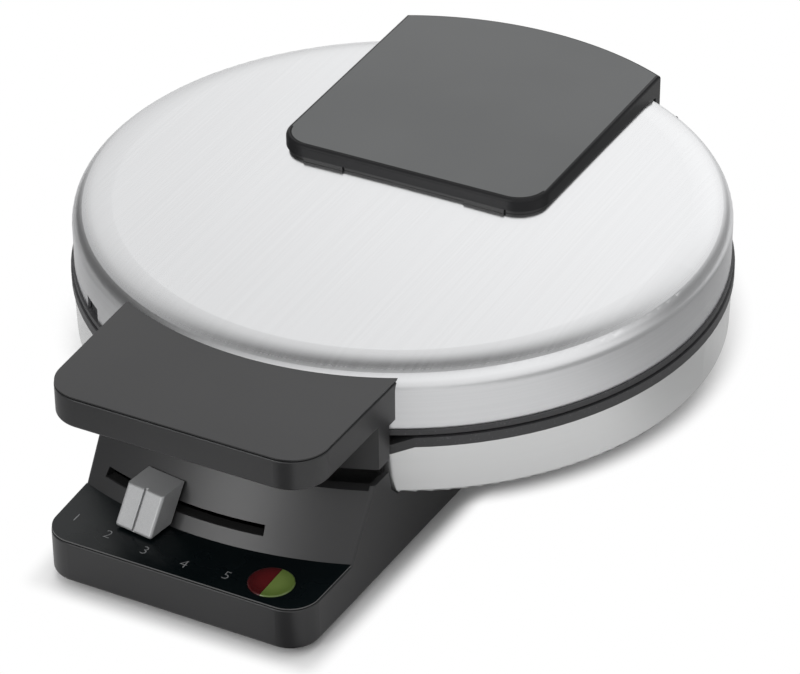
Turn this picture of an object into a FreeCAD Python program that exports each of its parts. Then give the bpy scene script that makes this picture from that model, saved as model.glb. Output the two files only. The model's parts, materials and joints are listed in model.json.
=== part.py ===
"""Round waffle maker: a domed steel lid hinged at the rear over a base with a front slider.

Millimetres, +Z up, front towards -Y. The pieces are drawn about the axis of the round plates
and are then shifted along Y, so that the origin lies under the middle of the whole object.
Angles about the plate axis are counted from the front, positive towards +X.
"""
import FreeCAD, Part
import math
import os

V = FreeCAD.Vector
UP = V(0, 0, 1)
TINY = 1e-4

# Heights, each counted from the one below it
FOOT_HEIGHT = 2.0
LEDGE_RISE = 14.1
DECK_RISE = 8.1
FACE_RISE = 9.0
WING_STEP = 1.2
LOWER_RIM_HEIGHT = 3.1
RIM_GAP = 0.3
UPPER_RIM_HEIGHT = 1.6
LID_CLEAR = 2.9
COVER_RISE = 5.1

# Round stainless halves and the rims of the plates
LID_R = 97.0
SHEET = 0.8
DOME_RISE = 1.1
ROLL_WIDTH = 12.0
ROLL_R = 30.0
SHOULDER_R = 4.5
PAN_STEP = 0.2
PAN_FLARE = 0.4
PAN_BEND = 1.2
LOWER_RIM_PROUD = 0.5
UPPER_RIM_PROUD = 0.6
NOTCH_ANGLE = -39.1
NOTCH_WIDTH = 8.3
NOTCH_HEIGHT = 4.2

# Base: its plan, walls, edges and the wings beside the pan
FACE_STANDOFF = 22.8
LEDGE_DEPTH = 18.5
BASE_FRONT_WIDTH = 82.9
BASE_FLARE = 0.039
BASE_CORNER = 9.0
BASE_REAR_CORNER = 6.0
BASE_EDGE = 1.5
LEDGE_EDGE = 0.4
WALL = 2.5
DECK_THICK = 1.6
COVER_THICK = 2.5
SEAM = 0.1
WING_THICK = 1.2
WING_EDGE = 1.3
WING_GAP = 2.9
WING_GAP_RISE = 3.5
WING_GAP_FLARE = 1.4

# Lip with a shadow groove under it, on the scale plate and on the handle's panel
LIP_INSET = 0.15
LIP_THICK = 0.4
LIP_GROOVE = 0.4
LIP_REACH = 0.7

# Control face, a cone about the plate axis, and its slider
FACE_LEAN = 32.5
FACE_THICK = 3.5
MARK_PITCH = 5.5
MARK_MIDDLE = -4.8
MARK_COUNT = 5
KNOB_ANGLE = -8.0
SLOT_DROP = 1.4
SLOT_HEIGHT = 2.7
SLOT_END_ROOM = 1.4
LEVER_THICK = 1.6
LEVER_TIP_WIDTH = 6.0
LEVER_HUB_R = 8.0
KNOB_WIDTH = 12.6
KNOB_DEPTH = 9.3
KNOB_HEIGHT = 11.0
KNOB_GAP = 0.6
KNOB_EDGE = 0.8
KNOB_GROOVE = 0.9
LENS_R = 6.6
LENS_MARGIN = 2.6
LENS_RISE = 0.3
LENS_EDGE = 0.5
LENS_FLANGE = 0.8

# Waffle plates, given for the lower one; the upper one is its mirror image
PLATE_THICK = 2.6
FIELD_MARGIN = 15.0
FIELD_DEPTH = 7.0
FIELD_WALL = 3.8
FIELD_EDGE = 1.0
LAND_WIDTH = 2.7
LAND_GAP = 0.1
GROOVE_SLOPE = 1.0
GROOVE_WIDTH = 5.0
GROOVE_DEPTH = 2.6
STUD_HEIGHT = 4.6
STUD_PITCH = 17.0
CHANNEL_FLOOR = 4.6
CHANNEL_TOP = 7.4
RIDGE_WIDTH = 3.0
RIDGE_HEIGHT = 5.2
RIM_ROOM = 0.3
RIM_STEP = 2.0
DIP_DEPTH = 2.3
DIP_START = 29.4
DIP_END = 25.5

# Handle
HANDLE_LENGTH = 36.5
HANDLE_FRONT_WIDTH = 83.1
HANDLE_FLARE = 0.030
HANDLE_DROP = 3.4
HANDLE_THICK = 10.0
HANDLE_CORNER = 11.0
HANDLE_TOP_EDGE = 0.4
HANDLE_UNDER_EDGE = 0.8
HANDLE_CAP_THICK = 2.0
APRON_GAP = 1.9
APRON_THICK = 5.2
APRON_CLEAR = 4.6
COLLAR_DROP = 2.5

# Rear hinge and its cover
HINGE_RISE = 0.7
HINGE_SETBACK = 2.6
KNUCKLE_R = 3.5
KNUCKLE_WIDTH = 13.0
KNUCKLE_GAP = 0.5
KNUCKLE_CLEAR = 3.0
EAR_WIDTH = 9.5
EAR_INSET = 7.9
HINGE_PIN_R = 2.0
RUNNING_FIT = 0.04
STRAP_THICK = 1.3
COVER_WIDER = 3.0
COVER_FLARE = 0.008
COVER_CORNER = 10.0
COVER_OVERHANG = 0.4
COVER_SIDE = 5.3
COVER_EDGE = 1.2
COVER_INSET = 0.8
COVER_SEAT_MARGIN = 13.0

# Fasteners and fittings
SCREW_R = 2.0
SCREW_HEAD_R = 3.5
SCREW_HEAD = 1.6
SCREW_ROOM = 0.1
HEAD_ROOM = 0.4
BOSS_R = 5.0
BOSS_ROOM = 0.5
BOSS_ROOF = 1.0
SMALL_SCREW_R = 1.45
SMALL_HEAD_R = 3.0
PLATE_SCREW_INSET = 10.6
PLATE_SCREW_MARGIN = 25.0
HINGE_SCREW_SETBACK = 12.0
HINGE_SCREW_MARGIN = 25.0
HANDLE_SCREW_ANGLE = 14.0
HANDLE_SCREW_RISE = 3.3
LUG_WIDTH = 11.0
LUG_DEPTH = 9.0
POST_R = 4.0
POST_INSET = 7.5
FRONT_POST_SETBACK = 43.3
REAR_POST_SETBACK = 24.2
FOOT_R = 7.0
FOOT_PLUG_R = 3.0
FOOT_INSET = 11.5
FRONT_FOOT_SETBACK = 22.3
REAR_FOOT_SETBACK = 12.0
GROMMET_R = 5.0
GROMMET_FLANGE_R = 7.0
GROMMET_FLANGE = 1.5
GROMMET_BORE_R = 3.3
GROMMET_RISE = 11.0

# Heating and control
ELEMENT_MARGIN = 30.0
ELEMENT_TUBE_R = 3.2
ELEMENT_GAP = 0.1
ELEMENT_CLEAR = 0.8
ELEMENT_OPENING = 30.0
TERMINAL_R = 1.6
TERMINAL_LENGTH = 11.5
TERMINAL_ROOM = 1.0
SHIELD_SHEET = 0.5
SHIELD_STANDOFF = 1.4
LOWER_SHIELD_MARGIN = 7.2
UPPER_SHIELD_MARGIN = 16.0
SHELL_BORE_R = 20.0
DECK_BORE_R = 10.0
THERMOSTAT_R = 11.0
THERMOSTAT_CLEAR = 0.3
BRACKET_LENGTH = 34.0
BRACKET_DEPTH = 13.0
BRACKET_THICK = 1.6
SPINDLE_R = 3.0
SPINDLE_DEPTH = 3.2
SPINDLE_END_ROOM = 0.3
COLLAR = 1.5
FUSE_R = 2.2
FUSE_LENGTH = 14.0
FUSE_Y = 28.0
CLIP_THICK = 0.6
CLIP_FOOT = 4.0
CLIP_WIDTH = 8.0
BLOCK_LENGTH = 24.0
BLOCK_DEPTH = 13.0
BLOCK_HEIGHT = 9.0
BLOCK_SETBACK = 32.0
LAMP_R = 2.5
LAMP_LENGTH = 3.8
LAMP_SPACING = 7.0
LAMP_CLEAR = 0.3
LAMP_HOLDER_LENGTH = 13.0
LAMP_HOLDER_DEPTH = 7.0

# Heights worked out from the sizes above
BASE_LOW_Z = FOOT_HEIGHT
COVER_TOP_Z = BASE_LOW_Z + COVER_THICK
LEDGE_Z = BASE_LOW_Z + LEDGE_RISE
LEDGE_SEAT_Z = LEDGE_Z - LIP_THICK - LIP_GROOVE
LEDGE_UNDER_Z = LEDGE_SEAT_Z - WALL
DECK_Z = LEDGE_Z + DECK_RISE
DECK_UNDER_Z = DECK_Z - DECK_THICK
SLOT_Z = DECK_UNDER_Z - SLOT_DROP
LEVER_LOW_Z = SLOT_Z - LEVER_THICK / 2
KNOB_LOW_Z = LEDGE_Z + KNOB_GAP
KNOB_TOP_Z = KNOB_LOW_Z + KNOB_HEIGHT
FACE_TOP_Z = DECK_Z + FACE_RISE
WING_TOP_Z = FACE_TOP_Z + WING_STEP
SHELL_FLOOR_Z = DECK_Z + SHEET
LOWER_SHIELD_Z = SHELL_FLOOR_Z + SHIELD_STANDOFF + SHIELD_SHEET
PLATE_UNDER_Z = LOWER_SHIELD_Z + ELEMENT_CLEAR + 2 * ELEMENT_TUBE_R + ELEMENT_GAP
FLOOR_Z = PLATE_UNDER_Z + PLATE_THICK
PARTING_Z = FLOOR_Z + FIELD_DEPTH
GROOVE_Z = PARTING_Z - GROOVE_DEPTH
PAN_TOP_Z = PARTING_Z - RIM_GAP - LOWER_RIM_HEIGHT
FLANGE_UNDER_Z = PAN_TOP_Z - RIM_STEP
LID_LOW_Z = PARTING_Z + RIM_GAP + UPPER_RIM_HEIGHT + SEAM
UPPER_BACK_Z = 2 * PARTING_Z - PLATE_UNDER_Z
UPPER_SHIELD_Z = UPPER_BACK_Z + ELEMENT_GAP + 2 * ELEMENT_TUBE_R + ELEMENT_CLEAR + SHIELD_SHEET
CROWN_Z = UPPER_SHIELD_Z + LID_CLEAR + SHEET
COVER_LOW_Z = CROWN_Z - COVER_SIDE
HINGE_COVER_TOP_Z = CROWN_Z + COVER_RISE
HANDLE_TOP_Z = CROWN_Z - HANDLE_DROP
HANDLE_UNDER_Z = HANDLE_TOP_Z - HANDLE_THICK
HANDLE_SCREW_Z = HANDLE_UNDER_Z + HANDLE_SCREW_RISE
COLLAR_LOW_Z = HANDLE_UNDER_Z - COLLAR_DROP
APRON_LOW_Z = FACE_TOP_Z + APRON_CLEAR
HINGE_Z = PARTING_Z + HINGE_RISE
HINGE_BLOCK_Z = HINGE_Z - KNUCKLE_R - KNUCKLE_CLEAR
GROMMET_Z = BASE_LOW_Z + GROMMET_RISE
THERMOSTAT_TOP_Z = PLATE_UNDER_Z - BRACKET_THICK
THERMOSTAT_LOW_Z = SHELL_FLOOR_Z + THERMOSTAT_CLEAR
LENS_LOW_Z = LEDGE_UNDER_Z - LENS_FLANGE
LAMP_LOW_Z = LENS_LOW_Z - LAMP_CLEAR - LAMP_LENGTH

# Radii and places worked out from the sizes above
FAR = 4 * LID_R
DOME_END_R = LID_R - ROLL_WIDTH
DOME_R = (DOME_END_R ** 2 + DOME_RISE ** 2) / (2 * DOME_RISE)
DOME_TURN = math.asin(DOME_END_R / DOME_R)
ROLL_CENTRE_R = (DOME_R - ROLL_R) * math.sin(DOME_TURN)
ROLL_CENTRE_Z = CROWN_Z - DOME_R + (DOME_R - ROLL_R) * math.cos(DOME_TURN)
SHOULDER_CENTRE_R = LID_R - SHOULDER_R
ROLL_TURN = math.asin((SHOULDER_CENTRE_R - ROLL_CENTRE_R) / (ROLL_R - SHOULDER_R))
SHOULDER_CENTRE_Z = ROLL_CENTRE_Z + (ROLL_R - SHOULDER_R) * math.cos(ROLL_TURN)
PAN_FOOT_R = LID_R + PAN_STEP
PAN_TOP_R = PAN_FOOT_R + PAN_FLARE
LOWER_RIM_R = PAN_TOP_R + LOWER_RIM_PROUD
UPPER_RIM_R = LID_R + UPPER_RIM_PROUD
FIELD_R = LID_R - FIELD_MARGIN
ELEMENT_R = FIELD_R - ELEMENT_MARGIN
LOWER_SHIELD_R = PAN_FOOT_R - LOWER_SHIELD_MARGIN
UPPER_SHIELD_R = FIELD_R - UPPER_SHIELD_MARGIN
FACE_FOOT_R = LID_R + FACE_STANDOFF
FRONT_REACH = FACE_FOOT_R + LEDGE_DEPTH
HANDLE_FRONT = LID_R + HANDLE_LENGTH
APRON_IN_R = LOWER_RIM_R + APRON_GAP
APRON_OUT_R = APRON_IN_R + APRON_THICK
LUG_IN_R = LID_R - LUG_DEPTH
HINGE_Y = LOWER_RIM_R + HINGE_SETBACK
REAR_REACH = HINGE_Y + KNUCKLE_R
COVER_FRONT_WIDTH = BASE_FRONT_WIDTH + COVER_WIDER
COVER_REAR_R = LID_R + COVER_OVERHANG
COVER_SEAT_END = LID_R - COVER_SEAT_MARGIN
PLATE_AXIS_Y = (FRONT_REACH - REAR_REACH) / 2
BLOCK_Y = REAR_REACH - BLOCK_SETBACK
LENS_ANGLE = MARK_MIDDLE + MARK_PITCH * (MARK_COUNT + 1) / 2
LENS_Y = LENS_R + LENS_MARGIN - FRONT_REACH
LENS_X = -LENS_Y * math.tan(math.radians(LENS_ANGLE))


def base_half(y):
    """Half of the base's width at a place along Y."""
    return BASE_FRONT_WIDTH / 2 + BASE_FLARE * (y + FRONT_REACH)


EAR_OUT_X = base_half(REAR_REACH) - EAR_INSET
KNUCKLE_OUT_X = EAR_OUT_X - EAR_WIDTH - KNUCKLE_GAP
KNUCKLE_IN_X = KNUCKLE_OUT_X - KNUCKLE_WIDTH
HINGE_SCREW_X = (KNUCKLE_IN_X + KNUCKLE_OUT_X) / 2


def face_r(z):
    """Radius of the control face at height z."""
    return FACE_FOOT_R - (z - LEDGE_Z) * math.tan(math.radians(FACE_LEAN))


def dome_z(radius):
    """Height of the lid's outer surface at a radius inside its shoulder."""
    if radius < DOME_END_R:
        return CROWN_Z - DOME_R + math.sqrt(DOME_R ** 2 - radius ** 2)
    return ROLL_CENTRE_Z + math.sqrt(ROLL_R ** 2 - (radius - ROLL_CENTRE_R) ** 2)


def turned(points, start=0.0, sweep=360.0):
    """Solid turned about the plate axis from (radius, height) points."""
    wire = Part.makePolygon([V(r, 0, z) for r, z in points + points[:1]])
    solid = Part.Face(wire).revolve(V(), UP, sweep)
    solid.rotate(V(), UP, start - 90)
    return solid


def rod(radius, low, high, x=0.0, y=0.0):
    """Upright cylinder between two heights."""
    return Part.makeCylinder(radius, high - low, V(x, y, low))


def slab(x0, x1, y0, y1, z0, z1):
    """Box between two corners."""
    return Part.makeBox(x1 - x0, y1 - y0, z1 - z0, V(x0, y0, z0))


def crossbar(radius, x0, x1, y, z):
    """Cylinder along X."""
    return Part.makeCylinder(radius, x1 - x0, V(x0, y, z), V(1, 0, 0))


def spoke(radius, r0, r1, z, angle):
    """Cylinder pointing outwards from the plate axis at an angle from the front."""
    outward = V(math.sin(math.radians(angle)), -math.cos(math.radians(angle)), 0)
    return Part.makeCylinder(radius, r1 - r0, outward * r0 + UP * z, outward)


def mirrored_pair(shape):
    """The shape and its mirror image across the middle plane."""
    return [shape, shape.mirror(V(), V(1, 0, 0))]


def joined(shapes):
    """One solid from shapes that overlap or share faces."""
    return shapes[0].fuse(shapes[1:]).removeSplitter()


def rounded(block, radius, z):
    """The block with its edges at height z rounded."""
    level = [e for e in block.Edges if e.BoundBox.ZLength < TINY and abs(e.BoundBox.ZMax - z) < TINY]
    return block.makeFillet(radius, level)


def tapered_block(front, front_width, flare, rear, low, high, corner, rear_corner=0.0):
    """Upright block that widens towards the rear, with rounded corners."""
    front_half = front_width / 2
    rear_half = front_half + flare * (front + rear)
    outline = [V(-front_half, -front, low), V(front_half, -front, low),
               V(rear_half, rear, low), V(-rear_half, rear, low)]
    block = Part.Face(Part.makePolygon(outline + outline[:1])).extrude(UP * (high - low))

    def corners(y):
        return [e for e in block.Edges
                if abs(e.tangentAt(e.FirstParameter).z) > 1 - TINY and abs(e.CenterOfMass.y - y) < TINY]

    block = block.makeFillet(corner, corners(-front))
    return block.makeFillet(rear_corner, corners(rear)) if rear_corner else block


def base_block(inset, low, high):
    """The base's outline, drawn inwards by inset, between two heights."""
    return tapered_block(FRONT_REACH - inset, BASE_FRONT_WIDTH - 2 * inset, BASE_FLARE,
                         REAR_REACH - inset, low, high, BASE_CORNER - inset, BASE_REAR_CORNER - inset)


def handle_block(inset, low, high):
    """The handle's outline, drawn inwards by inset, between two heights."""
    return tapered_block(HANDLE_FRONT - inset, HANDLE_FRONT_WIDTH - 2 * inset, HANDLE_FLARE,
                         0.0, low, high, HANDLE_CORNER - inset)


def cover_block(inset, low, high):
    """The hinge cover's outline, drawn inwards by inset, with its round rear edge."""
    block = tapered_block(-inset, COVER_FRONT_WIDTH - 2 * inset, COVER_FLARE, FAR / 2, low, high,
                          COVER_CORNER - inset)
    return block.common(rod(COVER_REAR_R - inset, low, high))


def lid_form(offset, low=LID_LOW_Z):
    """Solid inside the lid's outer surface, moved outwards by offset."""
    def arc(centre_r, centre_z, radius, start, end):
        reach = radius + offset
        return Part.Arc(*[V(centre_r + reach * math.sin(turn), 0, centre_z + reach * math.cos(turn))
                          for turn in (start, (start + end) / 2, end)]).toShape()

    skin = [arc(0, CROWN_Z - DOME_R, DOME_R, 0, DOME_TURN),
            arc(ROLL_CENTRE_R, ROLL_CENTRE_Z, ROLL_R, DOME_TURN, ROLL_TURN),
            arc(SHOULDER_CENTRE_R, SHOULDER_CENTRE_Z, SHOULDER_R, ROLL_TURN, math.pi / 2)]
    radius = LID_R + offset
    sides = Part.makePolygon([V(radius, 0, SHOULDER_CENTRE_Z), V(radius, 0, low), V(0, 0, low),
                              V(0, 0, CROWN_Z + offset)])
    return Part.Face(Part.Wire(skin + sides.Edges)).revolve(V(), UP, 360)


def base_posts():
    """Places of the four screw posts under the deck."""
    rows = (FRONT_POST_SETBACK - FRONT_REACH, REAR_REACH - REAR_POST_SETBACK)
    return [(side * (base_half(y) - POST_INSET), y) for y in rows for side in (-1, 1)]


def foot_places():
    """Places of the four feet."""
    rows = (FRONT_FOOT_SETBACK - FRONT_REACH, REAR_REACH - REAR_FOOT_SETBACK)
    return [(side * (base_half(y) - FOOT_INSET), y) for y in rows for side in (-1, 1)]


def plate_screw_places():
    """Places of the four screws that hold the lower plate."""
    y = FIELD_R - PLATE_SCREW_MARGIN
    x = base_half(-y) - PLATE_SCREW_INSET
    return [(across * x, along * y) for across in (-1, 1) for along in (-1, 1)]


def hinge_screw_places():
    """Places of the four screws that hold the hinge strap and the upper plate."""
    rows = (HINGE_SCREW_SETBACK, LID_R - HINGE_SCREW_MARGIN)
    return [(side * HINGE_SCREW_X, y) for y in rows for side in (-1, 1)]


def terminal_places():
    """Places of the heating element's two terminals, at the rear."""
    half = math.radians(ELEMENT_OPENING / 2)
    return [(side * ELEMENT_R * math.sin(half), ELEMENT_R * math.cos(half)) for side in (-1, 1)]


def base_housing():
    """Moulded base: ledge, control face with its slot, wings, deck and hinge ears."""
    ledge = rounded(base_block(0, BASE_LOW_Z, LEDGE_SEAT_Z), BASE_EDGE, BASE_LOW_Z)
    ledge = rounded(ledge, LEDGE_EDGE, LEDGE_SEAT_Z)
    before_face = turned([(face_r(LEDGE_UNDER_Z), LEDGE_UNDER_Z), (FAR, LEDGE_UNDER_Z), (FAR, FAR), (0, FAR),
                          (0, HINGE_BLOCK_Z), (face_r(HINGE_BLOCK_Z), HINGE_BLOCK_Z)], -90, 180)
    upper = base_block(0, LEDGE_UNDER_Z, HINGE_BLOCK_Z).cut(before_face)
    face_ends = [e for e in upper.Edges
                 if e.BoundBox.YMax < 0 and e.BoundBox.ZLength > HINGE_BLOCK_Z - LEDGE_UNDER_Z - TINY]
    body = joined([ledge, upper.makeFillet(WING_EDGE, face_ends)])

    room_r = PAN_FOOT_R + WING_GAP + WING_GAP_FLARE
    front_room = turned([(0, DECK_Z), (PAN_FOOT_R, DECK_Z), (PAN_FOOT_R + WING_GAP, DECK_Z + WING_GAP_RISE),
                         (room_r, WING_TOP_Z), (room_r, FAR), (0, FAR)], -90, 180)
    rear_r = LOWER_RIM_R + RIM_ROOM
    rear_room = turned([(0, DECK_Z), (rear_r, DECK_Z), (rear_r, FAR), (0, FAR)], 90, 180)
    over_wings = slab(-FAR, FAR, -FAR, 0, WING_TOP_Z, FAR)
    over_face = slab(-FAR, FAR, -FAR, 0, FACE_TOP_Z, FAR).common(base_block(WING_THICK, BASE_LOW_Z, FAR))
    inside_face = turned([(0, LEDGE_UNDER_Z), (face_r(LEDGE_UNDER_Z) - FACE_THICK, LEDGE_UNDER_Z),
                          (face_r(WING_TOP_Z) - FACE_THICK, WING_TOP_Z), (0, WING_TOP_Z)])
    inside = base_block(WALL, BASE_LOW_Z, WING_TOP_Z)
    trough = inside_face.common(inside).common(slab(-FAR, FAR, -FAR, 0, DECK_Z, FAR))
    cavity = base_block(WALL, BASE_LOW_Z, LEDGE_UNDER_Z).fuse(
        inside_face.common(inside).common(slab(-FAR, FAR, -FAR, FAR, LEDGE_UNDER_Z, DECK_UNDER_Z)))
    lens_hole = rod(LENS_R + SEAM, LEDGE_UNDER_Z, LEDGE_Z, LENS_X, LENS_Y)
    body = body.cut([front_room, rear_room, over_wings, over_face, trough, cavity, lens_hole])

    ear_x = KNUCKLE_OUT_X + KNUCKLE_GAP
    ear = slab(ear_x, EAR_OUT_X, HINGE_Y - KNUCKLE_R, HINGE_Y + KNUCKLE_R, DECK_Z, HINGE_Z).fuse(
        crossbar(KNUCKLE_R, ear_x, EAR_OUT_X, HINGE_Y, HINGE_Z))
    posts = [rod(POST_R, COVER_TOP_Z, DECK_UNDER_Z, x, y) for x, y in base_posts()]
    body = joined([body] + mirrored_pair(ear) + posts)

    half_slot = MARK_PITCH * (MARK_COUNT - 1) / 2 + math.degrees(
        (LEVER_TIP_WIDTH / 2 + SLOT_END_ROOM) / face_r(SLOT_Z))
    slot_low, slot_high = SLOT_Z - SLOT_HEIGHT / 2, SLOT_Z + SLOT_HEIGHT / 2
    slot = turned([(face_r(slot_high) - FACE_THICK - WALL, slot_low), (FACE_FOOT_R, slot_low),
                   (FACE_FOOT_R, slot_high), (face_r(slot_high) - FACE_THICK - WALL, slot_high)],
                  MARK_MIDDLE - half_slot, 2 * half_slot)
    holes = [slot, rod(DECK_BORE_R, DECK_UNDER_Z, DECK_Z)]
    for x, y in base_posts():
        holes.append(rod(SMALL_SCREW_R + SEAM, COVER_TOP_Z, LEDGE_Z, x, y))
    for x, y in plate_screw_places():
        holes.append(rod(SCREW_R + SCREW_ROOM, DECK_UNDER_Z, DECK_Z, x, y))
    for x, y in terminal_places():
        holes.append(rod(TERMINAL_R + TERMINAL_ROOM, DECK_UNDER_Z, DECK_Z, x, y))
    holes += mirrored_pair(crossbar(HINGE_PIN_R + RUNNING_FIT, KNUCKLE_IN_X, EAR_OUT_X, HINGE_Y, HINGE_Z))
    rear = Part.makeCylinder(GROMMET_R, WALL, V(0, REAR_REACH - WALL, GROMMET_Z), V(0, 1, 0))
    flange = Part.makeCylinder(GROMMET_FLANGE_R, GROMMET_FLANGE,
                               V(0, REAR_REACH - GROMMET_FLANGE, GROMMET_Z), V(0, 1, 0))
    return body.cut(holes + [rear, flange])


def bottom_cover():
    """Plate that closes the underside, let in between the walls."""
    plate = base_block(WALL + SEAM, BASE_LOW_Z, COVER_TOP_Z)
    holes = []
    for x, y in base_posts():
        holes.append(rod(SMALL_HEAD_R + SEAM, BASE_LOW_Z, BASE_LOW_Z + SCREW_HEAD, x, y))
        holes.append(rod(SMALL_SCREW_R + SEAM, BASE_LOW_Z, COVER_TOP_Z, x, y))
    for x, y in foot_places():
        holes.append(rod(FOOT_PLUG_R + SEAM, BASE_LOW_Z, COVER_TOP_Z, x, y))
    return plate.cut(holes)


def rubber_feet():
    """Four round feet with plugs that hold them in the bottom cover."""
    feet = []
    for x, y in foot_places():
        plug = rod(FOOT_PLUG_R, FOOT_HEIGHT, COVER_TOP_Z, x, y)
        feet.append(joined([rod(FOOT_R, 0, FOOT_HEIGHT, x, y), plug]))
    return Part.makeCompound(feet)


def screw(x, y, seat, tip, radius, head_r):
    """Upright screw: its head rests against seat and its shank runs to tip."""
    away = -1 if tip > seat else 1
    head = rod(head_r, min(seat, seat + away * SCREW_HEAD), max(seat, seat + away * SCREW_HEAD), x, y)
    return head.fuse(rod(radius, min(seat, tip), max(seat, tip), x, y)).removeSplitter()


def bottom_screws():
    """Screws through the bottom cover into the posts."""
    seat = BASE_LOW_Z + SCREW_HEAD
    return Part.makeCompound([screw(x, y, seat, LEDGE_UNDER_Z, SMALL_SCREW_R, SMALL_HEAD_R)
                              for x, y in base_posts()])


def scale_plate():
    """Glossy plate over the ledge, with a shadow groove under its lip and a hole for the indicator."""
    under_lip = LEDGE_Z - LIP_THICK
    plate = joined([base_block(LIP_INSET, under_lip, LEDGE_Z),
                    base_block(LIP_INSET + LIP_REACH, LEDGE_SEAT_Z, under_lip)])
    face = turned([(0, LEDGE_SEAT_Z), (face_r(LEDGE_SEAT_Z) + SEAM, LEDGE_SEAT_Z),
                   (FACE_FOOT_R + SEAM, LEDGE_Z), (0, LEDGE_Z)])
    behind = slab(-FAR, FAR, -FACE_FOOT_R / 2, FAR, 0, FAR)
    lens_hole = rod(LENS_R + SEAM, 0, FAR, LENS_X, LENS_Y)
    return plate.cut([face, behind, lens_hole])


def lens(side):
    """Half of the round indicator, held by a flange under the ledge."""
    top = LEDGE_Z + LENS_RISE
    button = rounded(rod(LENS_R, LENS_LOW_Z, top, LENS_X, LENS_Y), LENS_EDGE, top)
    flange = rod(LENS_R + LENS_FLANGE, LENS_LOW_Z, LEDGE_UNDER_Z, LENS_X, LENS_Y)
    button = joined([button, flange.common(base_block(WALL + SEAM, LENS_LOW_Z, LEDGE_UNDER_Z))])
    edge = LENS_X + side * SEAM / 2
    return button.common(slab(min(edge, edge + side * FAR), max(edge, edge + side * FAR), -FAR, FAR, 0, FAR))


def lamp_holder():
    """Block on the bottom cover that carries the two lamps."""
    length, depth = LAMP_HOLDER_LENGTH, LAMP_HOLDER_DEPTH
    return slab(LENS_X - length / 2, LENS_X + length / 2, LENS_Y - depth / 2, LENS_Y + depth / 2,
                COVER_TOP_Z, LAMP_LOW_Z)


def indicator_lamps():
    """Two small lamps, one under each half of the indicator."""
    middle = LAMP_LOW_Z + LAMP_LENGTH - LAMP_R
    lamps = []
    for side in (-1, 1):
        x = LENS_X + side * LAMP_SPACING / 2
        tip = Part.makeSphere(LAMP_R, V(x, LENS_Y, middle)).common(slab(-FAR, FAR, -FAR, FAR, middle, FAR))
        lamps.append(joined([rod(LAMP_R, LAMP_LOW_Z, middle, x, LENS_Y), tip]))
    return Part.makeCompound(lamps)


def terminal_block():
    """Connection block under the deck, near the cord's way in."""
    low = DECK_UNDER_Z - BLOCK_HEIGHT
    block = slab(-BLOCK_LENGTH / 2, BLOCK_LENGTH / 2, BLOCK_Y - BLOCK_DEPTH / 2, BLOCK_Y + BLOCK_DEPTH / 2,
                 low, DECK_UNDER_Z)
    pockets = [rod(TERMINAL_R, low, low + BLOCK_HEIGHT / 2, x, BLOCK_Y)
               for x in (-BLOCK_LENGTH / 4, 0, BLOCK_LENGTH / 4)]
    return block.cut(pockets)


def cord_grommet():
    """Bush in the rear wall where the mains lead would come in."""
    back = V(0, 1, 0)
    flange = Part.makeCylinder(GROMMET_FLANGE_R, GROMMET_FLANGE,
                               V(0, REAR_REACH - GROMMET_FLANGE, GROMMET_Z), back)
    sleeve = Part.makeCylinder(GROMMET_R, WALL, V(0, REAR_REACH - WALL, GROMMET_Z), back)
    bore = Part.makeCylinder(GROMMET_BORE_R, WALL, V(0, REAR_REACH - WALL, GROMMET_Z), back)
    return flange.fuse(sleeve).cut(bore).removeSplitter()


def slider_knob():
    """Leaning grip of the slider, grooved down its front."""
    low = KNOB_LOW_Z
    stand = KNOB_GAP / math.cos(math.radians(FACE_LEAN))
    low_r, high_r = face_r(low) + stand, face_r(KNOB_TOP_Z) + stand
    profile = [(low_r, low), (low_r + KNOB_DEPTH, low),
               (high_r + KNOB_DEPTH, KNOB_TOP_Z), (high_r, KNOB_TOP_Z)]
    wire = Part.makePolygon([V(-KNOB_WIDTH / 2, -r, z) for r, z in profile + profile[:1]])
    grip = Part.Face(wire).extrude(V(KNOB_WIDTH, 0, 0))
    front = [e for e in grip.Edges if e.CenterOfMass.y < -(low_r + high_r + KNOB_DEPTH) / 2]
    grip = grip.makeFillet(KNOB_EDGE, front)
    groove = Part.makePolygon([V(-KNOB_GROOVE / 2, -r, z) for r, z in (
        (low_r + KNOB_DEPTH - KNOB_GROOVE, low), (low_r + 2 * KNOB_DEPTH, low),
        (high_r + 2 * KNOB_DEPTH, KNOB_TOP_Z), (high_r + KNOB_DEPTH - KNOB_GROOVE, KNOB_TOP_Z),
        (low_r + KNOB_DEPTH - KNOB_GROOVE, low))])
    grip = grip.cut([Part.Face(groove).extrude(V(KNOB_GROOVE, 0, 0)), lever_blank(RUNNING_FIT)])
    grip.rotate(V(), UP, KNOB_ANGLE)
    return grip


def lever_blank(room):
    """Flat arm from the plate axis to inside the knob, at the front, drawn outwards by room."""
    tip = face_r(SLOT_Z) + KNOB_DEPTH / 2 + room
    half = LEVER_TIP_WIDTH / 2 + room
    low, high = LEVER_LOW_Z - room, LEVER_LOW_Z + LEVER_THICK + room
    outline = [V(-half, -tip, low), V(half, -tip, low), V(LEVER_HUB_R, 0, low), V(-LEVER_HUB_R, 0, low)]
    arm = Part.Face(Part.makePolygon(outline + outline[:1])).extrude(UP * (high - low))
    return arm.fuse(rod(LEVER_HUB_R + room, low, high)).removeSplitter()


def slider_lever():
    """Arm that carries the slider's motion to the thermostat."""
    arm = lever_blank(0).cut(rod(SPINDLE_R, 0, FAR))
    arm.rotate(V(), UP, KNOB_ANGLE)
    return arm


def thermostat_spindle():
    """Spindle turned by the lever, with a collar under the lever's hub."""
    top = THERMOSTAT_LOW_Z + SPINDLE_DEPTH
    collar = rod(SPINDLE_R + COLLAR, LEVER_LOW_Z - COLLAR, LEVER_LOW_Z)
    return joined([rod(SPINDLE_R, LEVER_LOW_Z - COLLAR, top), collar])


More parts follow.
